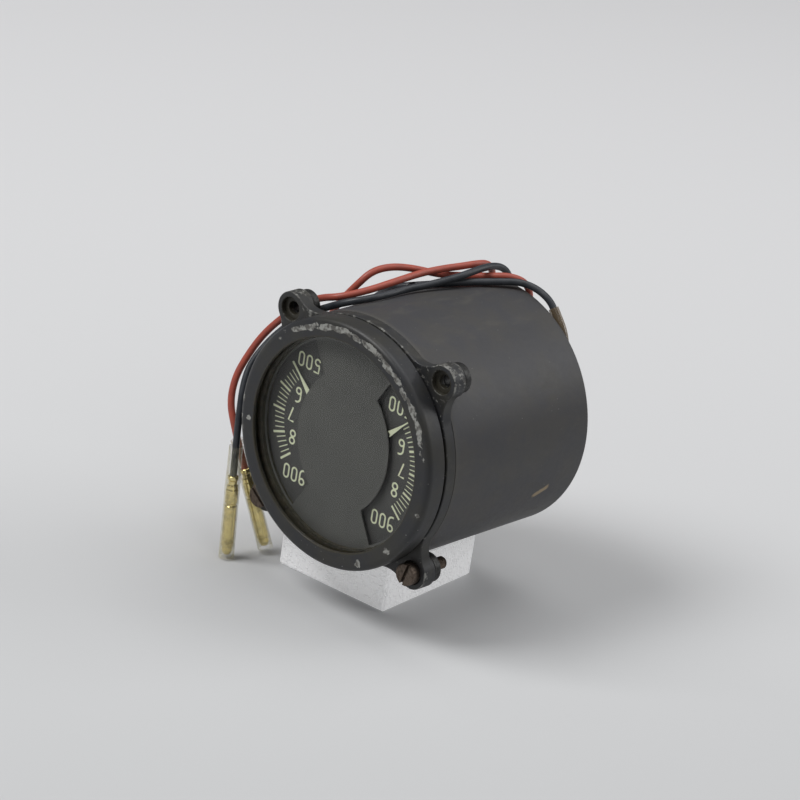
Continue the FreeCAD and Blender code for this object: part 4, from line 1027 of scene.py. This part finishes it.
def make_studs():
    """Threaded studs and their hexagon nuts: one before the board, one behind it and one behind the tag."""
    inner, tip = (corner.y for corner in ends("terminal_studs"))
    profile = [(0, inner, 0), (STUD_RADIUS, inner, 0)]
    profile += thread(STUD_RADIUS, STUD_ROOT, BOARD_BACK + 0.3, tip - 1.0)
    profile += [(STUD_RADIUS, tip - 0.6, 0), (1.4, tip, 0), (0, tip, 0)]
    studs = bmesh.new()
    nuts = bmesh.new()
    for x in STUDS.values():
        add_lathe(studs, profile, x, STUD_HEIGHT, 40, 0.1)
        for front in (BOARD_FRONT - NUT_THICK, BOARD_BACK, BOARD_BACK + NUT_THICK + TAG_THICK):
            hexagon = soften(arc((x, STUD_HEIGHT), NUT_REACH, 0, 300, 5), 0.35, steps=3)
            add_plate(nuts, hexagon, [stud_hole(x, STUD_HEIGHT)], front, front + NUT_THICK, 0.25, 2)
    stud = keep("studs", studs, "dull_brass")
    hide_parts("terminal_studs")
    nut = keep("nuts", nuts, "dull_brass")
    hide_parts("stud_nuts")


# Leads

# Route points of the leads, from the ring tag to the crimp
ROUTES = {
    "red_front": (
        (-14.1, 69.4, 15.6), (-13.5, 69.4, 22.0), (-13.1, 70.9, 28.4), (-12.5, 72.4, 34.2),
        (-12.0, 71.4, 38.9), (-11.6, 67.9, 41.9), (-11.8, 63.1, 42.7), (-13.4, 57.2, 42.3),
        (-15.5, 51.2, 41.9), (-17.0, 42.2, 41.5), (-17.2, 31.0, 40.8), (-19.2, 20.6, 38.9),
        (-23.6, 12.6, 36.6), (-31.0, 11.9, 33.8), (-38.6, 12.8, 28.4), (-45.8, 12.2, 21.2),
        (-50.4, 9.6, 14.2), (-53.0, 6.6, 6.6), (-53.9, 3.2, -0.6), (-52.6, 1.0, -8.4),
        (-48.3, 0.1, -15.2), (-46.3, 1.3, -21.6), (-44.13, 2.77, -28.3),
    ),
    "black_front": (
        (-5.0, 69.4, 15.6), (-5.0, 69.4, 22.0), (-4.7, 71.0, 28.4), (-4.8, 72.7, 34.6),
        (-5.1, 71.9, 39.1), (-5.6, 69.0, 42.3), (-6.0, 64.7, 43.8), (-5.6, 59.2, 44.4),
        (-5.3, 53.0, 44.2), (-5.9, 46.5, 43.3), (-9.8, 38.8, 40.9), (-13.4, 31.0, 39.4),
        (-13.4, 22.4, 39.2), (-15.2, 14.6, 38.5), (-20.8, 10.9, 36.0), (-28.4, 11.4, 31.2),
        (-35.8, 13.0, 26.6), (-42.2, 12.0, 20.6), (-46.2, 7.8, 13.8), (-47.6, 2.5, 6.8),
        (-46.2, -1.0, 0.8), (-43.9, -3.6, -5.8), (-42.1, -5.3, -13.7), (-41.5, -5.5, -20.6),
        (-41.08, -5.5, -27.66),
    ),
    "red_rear": (
        (5.0, 69.4, 15.6), (5.0, 69.4, 21.8), (4.6, 70.8, 27.8), (4.3, 72.2, 33.6),
        (4.0, 71.3, 38.4), (2.8, 68.2, 41.5), (-0.4, 64.6, 42.4), (-5.2, 61.0, 41.2),
        (-10.9, 57.2, 40.0), (-17.3, 52.4, 38.8), (-21.6, 44.2, 41.0), (-24.0, 35.8, 42.4),
        (-26.2, 29.4, 41.2), (-28.2, 25.8, 36.8), (-32.2, 24.6, 30.8), (-37.8, 27.0, 24.0),
        (-42.1, 30.0, 15.4), (-44.4, 32.6, 5.8), (-45.2, 34.4, -4.2), (-45.5, 35.1, -12.6),
        (-45.6, 35.3, -19.5), (-45.7, 35.4, -26.6),
    ),
    "black_rear": (
        (19.7, 69.4, 14.37), (22.6, 69.4, 19.54), (23.2, 69.5, 25.0), (21.4, 69.4, 30.4),
        (17.9, 69.0, 35.2), (15.0, 68.7, 38.9), (9.6, 68.0, 41.1), (4.4, 65.4, 42.0),
        (0.4, 59.6, 41.7), (-4.7, 51.8, 41.2), (-9.3, 45.2, 40.3), (-13.8, 39.6, 39.2),
        (-20.4, 36.6, 36.8), (-27.5, 36.9, 31.9), (-34.2, 38.4, 25.0), (-40.0, 40.4, 15.8),
        (-43.8, 42.2, 5.8), (-45.6, 43.4, -4.0), (-46.1, 44.0, -12.2), (-46.3, 44.15, -19.2),
        (-46.4, 44.2, -26.2),
    ),
}
# In metres
LEAD_RADIUS = 1.15
GUARD_RADIUS = 1.65
GUARD_END = (16.6, 68.87, 36.85)
CRIMP_LENGTH = 4.5
PLUG_TIP = CRIMP_LENGTH + 22.5
SLEEVE_LENGTH = 38.0
# Length of the sleeve over the lead, before the plug
SLEEVE_BEFORE = 10.0
# Profiles of the plug, its sleeve and the tag's barrel: radius, station and how round the corner is
PLUG_PROFILE = (
    (0, 0, 0), (1.4, 0, 0.1), (1.75, 0.3, 0.1), (1.75, 1.3, 0.1), (1.42, 1.7, 0.2), (1.42, 3.0, 0.2),
    (1.75, 3.4, 0.1), (1.75, CRIMP_LENGTH, 0.1), (1.95, CRIMP_LENGTH + 0.3, 0.1), (1.95, 9.2, 0.1),
    (1.62, 9.5, 0.1), (1.62, 10.1, 0.1), (1.95, 10.4, 0.1), (1.95, 24.0, 0.15), (1.7, 24.4, 0.15),
    (1.7, 25.7, 0.3), (1.1, PLUG_TIP, 0.3), (0, PLUG_TIP, 0),
)
SLEEVE_PROFILE = (
    (2.05, 0, 0.03), (2.2, 0, 0.05), (2.28, 6, 1), (2.5, 14, 1), (2.42, 22, 1), (2.5, 30, 1),
    (2.5, SLEEVE_LENGTH, 0.1), (2.3, SLEEVE_LENGTH, 0.05), (2.1, 30, 0), (2.05, 12, 0),
)
BARREL_PROFILE = (
    (0, 4.6, 0), (1.9, 4.6, 0.2), (1.9, 6.0, 0.1), (1.6, 6.3, 0.1), (1.6, 7.6, 0.1), (1.9, 7.9, 0.1),
    (1.9, 9.6, 0.1), (0, 9.6, 0),
)


def spline(name, points, radius, material):
    """Round cord whose smooth line has the given control points."""
    data = bpy.data.curves.new(name, "CURVE")
    data.dimensions = "3D"
    data.bevel_depth = radius * MM
    data.bevel_resolution = 6
    data.resolution_u = 10
    data.use_fill_caps = True
    path = data.splines.new("NURBS")
    path.points.add(len(points) - 1)
    for target, point in zip(path.points, points):
        target.co = (*(Vector(point) * MM), 1)
    path.order_u = 3
    path.use_endpoint_u = True
    data.materials.append(MATERIALS[material])
    return add_object(name, data)


def laid_along(profile, start, direction, segments):
    """What the profile makes when turned, laid from a start point along a direction."""
    bm = bmesh.new()
    add_lathe(bm, profile, segments=segments)
    turn = Vector((0, 1, 0)).rotation_difference(direction)
    bm.transform(Matrix.Translation(start) @ turn.to_matrix().to_4x4())
    return bm


def join(bm, other):
    """Add the faces of another bmesh."""
    mesh = bpy.data.meshes.new("joined")
    other.to_mesh(mesh)
    other.free()
    bm.from_mesh(mesh)
    bpy.data.meshes.remove(mesh)


def make_ends(word):
    """Crimped bullet plug and clear sleeve of one lead."""
    end = Vector(ROUTES[word][-1])
    direction = (end - Vector(ROUTES[word][-2])).normalized()
    plug = laid_along(PLUG_PROFILE, end, direction, 48)
    sleeve = laid_along(SLEEVE_PROFILE, end - direction * SLEEVE_BEFORE, direction, 56)
    made = [keep("plug_shaped_" + word, plug, "brass"), keep("sleeve_shaped_" + word, sleeve, "sleeve")]
    if word != "black_rear":
        ending = "s_rear" if word == "red_rear" else "_" + word
        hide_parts("plug" + ending)
        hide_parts("sleeve" + ending)
    return made


def make_leads():
    """The four leads, each with its plug and sleeve."""
    for word, route in ROUTES.items():
        colour = "red_wire" if word.startswith("red") else "black_wire"
        lead = spline("lead_shaped_" + word, route, LEAD_RADIUS, colour)
        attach(lead, BASE)
        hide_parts("lead_" + word)
        make_ends(word)


def make_tags():
    """Ring tag of each lead on its stud, with a crimped barrel."""
    bm = bmesh.new()
    front = BOARD_BACK + NUT_THICK
    outline = arc((0, 0), 3.6, 105, 435, 40) + vectors((1.4, 4.2), (1.4, 5.4), (-1.4, 5.4), (-1.4, 4.2))
    for word, x in STUDS.items():
        first = Vector(ROUTES[word][0])
        lean = math.atan2(first.x - x, first.z - STUD_HEIGHT)
        tag = bmesh.new()
        add_plate(tag, outline, [stud_hole(0, 0)], 0, TAG_THICK, 0.12, 2)
        barrel = bmesh.new()
        add_lathe(barrel, BARREL_PROFILE, segments=40)
        barrel.transform(Matrix.Translation((0, 1.9, 0)) @ Matrix.Rotation(math.radians(90), 4, "X"))
        join(tag, barrel)
        tag.transform(Matrix.Translation((x, front, STUD_HEIGHT)) @ Matrix.Rotation(lean, 4, "Y"))
        join(bm, tag)
    tags = keep("tags", bm, "dull_brass")
    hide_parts("ring_tags")


def make_guard():
    """Brown varnished sleeve over the first bend of the black rear lead."""
    curve = spline("guard_line", ROUTES["black_rear"][:5] + (GUARD_END,), GUARD_RADIUS, "guard")
    curve.data.use_fill_caps = False
    mesh = evaluated_mesh(curve)
    bpy.data.objects.remove(curve)
    mesh.shade_smooth()
    guard = add_object("guard_shaped", mesh)
    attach(guard, BASE)
    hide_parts("lead_guard")


# Finish of the nodes that stay as they are
CARRIED = {
    "steel": "bezel_snap_ring plate_screws magnet_screws bridge_screws staff_left staff_right "
             "core_left core_right",
    "dark_steel": "field_magnet_left field_magnet_right",
    "brass": "staff_bushes jewel_screws core_pins bridge_left bridge_right hairspring_left "
             "hairspring_right zero_lever_left zero_lever_right front_pillars middle_pillars rear_pillars",
    "copper": "moving_coil_left moving_coil_right resistor_spools",
    "aluminium": "front_plate middle_plate",
    "card": "resistor_card",
    "rubber": "glass_gasket",
    "spacer": "glass_spacer dial_distance_ring",
}


def finish_carried():
    """Give each of these nodes its one material."""
    for material, names in CARRIED.items():
        for name in names.split():
            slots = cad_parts[name].data.materials
            slots.clear()
            slots.append(MATERIALS[material])


FLOOR_RADIUS = 1500.0
# Middle, sides and turn in degrees of the block, seen from above
BLOCK_MIDDLE = (-8.5, 31.5)
BLOCK_SIDES = (43.0, 46.0)
BLOCK_TURN = 5


def make_floor():
    """Wide pale floor just under the hanging plugs, and a plain block that the case lies on."""
    level = cad_low.z / MM - 0.4
    floor = bmesh.new()
    bmesh.ops.create_circle(floor, cap_ends=True, segments=96, radius=FLOOR_RADIUS,
                            matrix=Matrix.Translation((0, 0, level)))
    block = bmesh.new()
    top = ends("case_shell")[0].z - 0.02
    bmesh.ops.create_cube(block, size=1.0, matrix=Matrix.Translation((*BLOCK_MIDDLE, (top + level) / 2))
                          @ Matrix.Rotation(math.radians(BLOCK_TURN), 4, "Z")
                          @ Matrix.Diagonal((*BLOCK_SIDES, top - level, 1)))
    bmesh.ops.bevel(block, geom=list(block.edges), offset=0.8, segments=3, affect="EDGES")
    for name, shape in (("floor", floor), ("block", block)):
        shape.transform(Matrix.Scale(MM, 4))
        mesh = bpy.data.meshes.new(name)
        shape.to_mesh(mesh)
        shape.free()
        mesh.materials.append(MATERIALS[name])
        add_object(name, mesh)


add_camera()
add_world()
add_lamps()
make_floor()
make_leads()
make_bezel()
make_glass()
make_mask()
make_dial()
make_numerals()
make_ticks()
make_pointer("left", -1)
make_pointer("right", 1)
make_flange()
make_nuts()
make_screws()
make_case()
make_small_screws("case_screws_shaped", "case_screws", arc((0, 0), 32.0, 270, 510, 2), 61.5)
make_small_screws("board_screws_shaped", "board_screws", arc((0, 0), 27.4, 90, 330, 2), 63.0)
make_board()
make_studs()
make_tags()
make_guard()
finish_carried()

bpy.context.scene.view_settings.view_transform = "Standard"

bpy.context.view_layer.update()
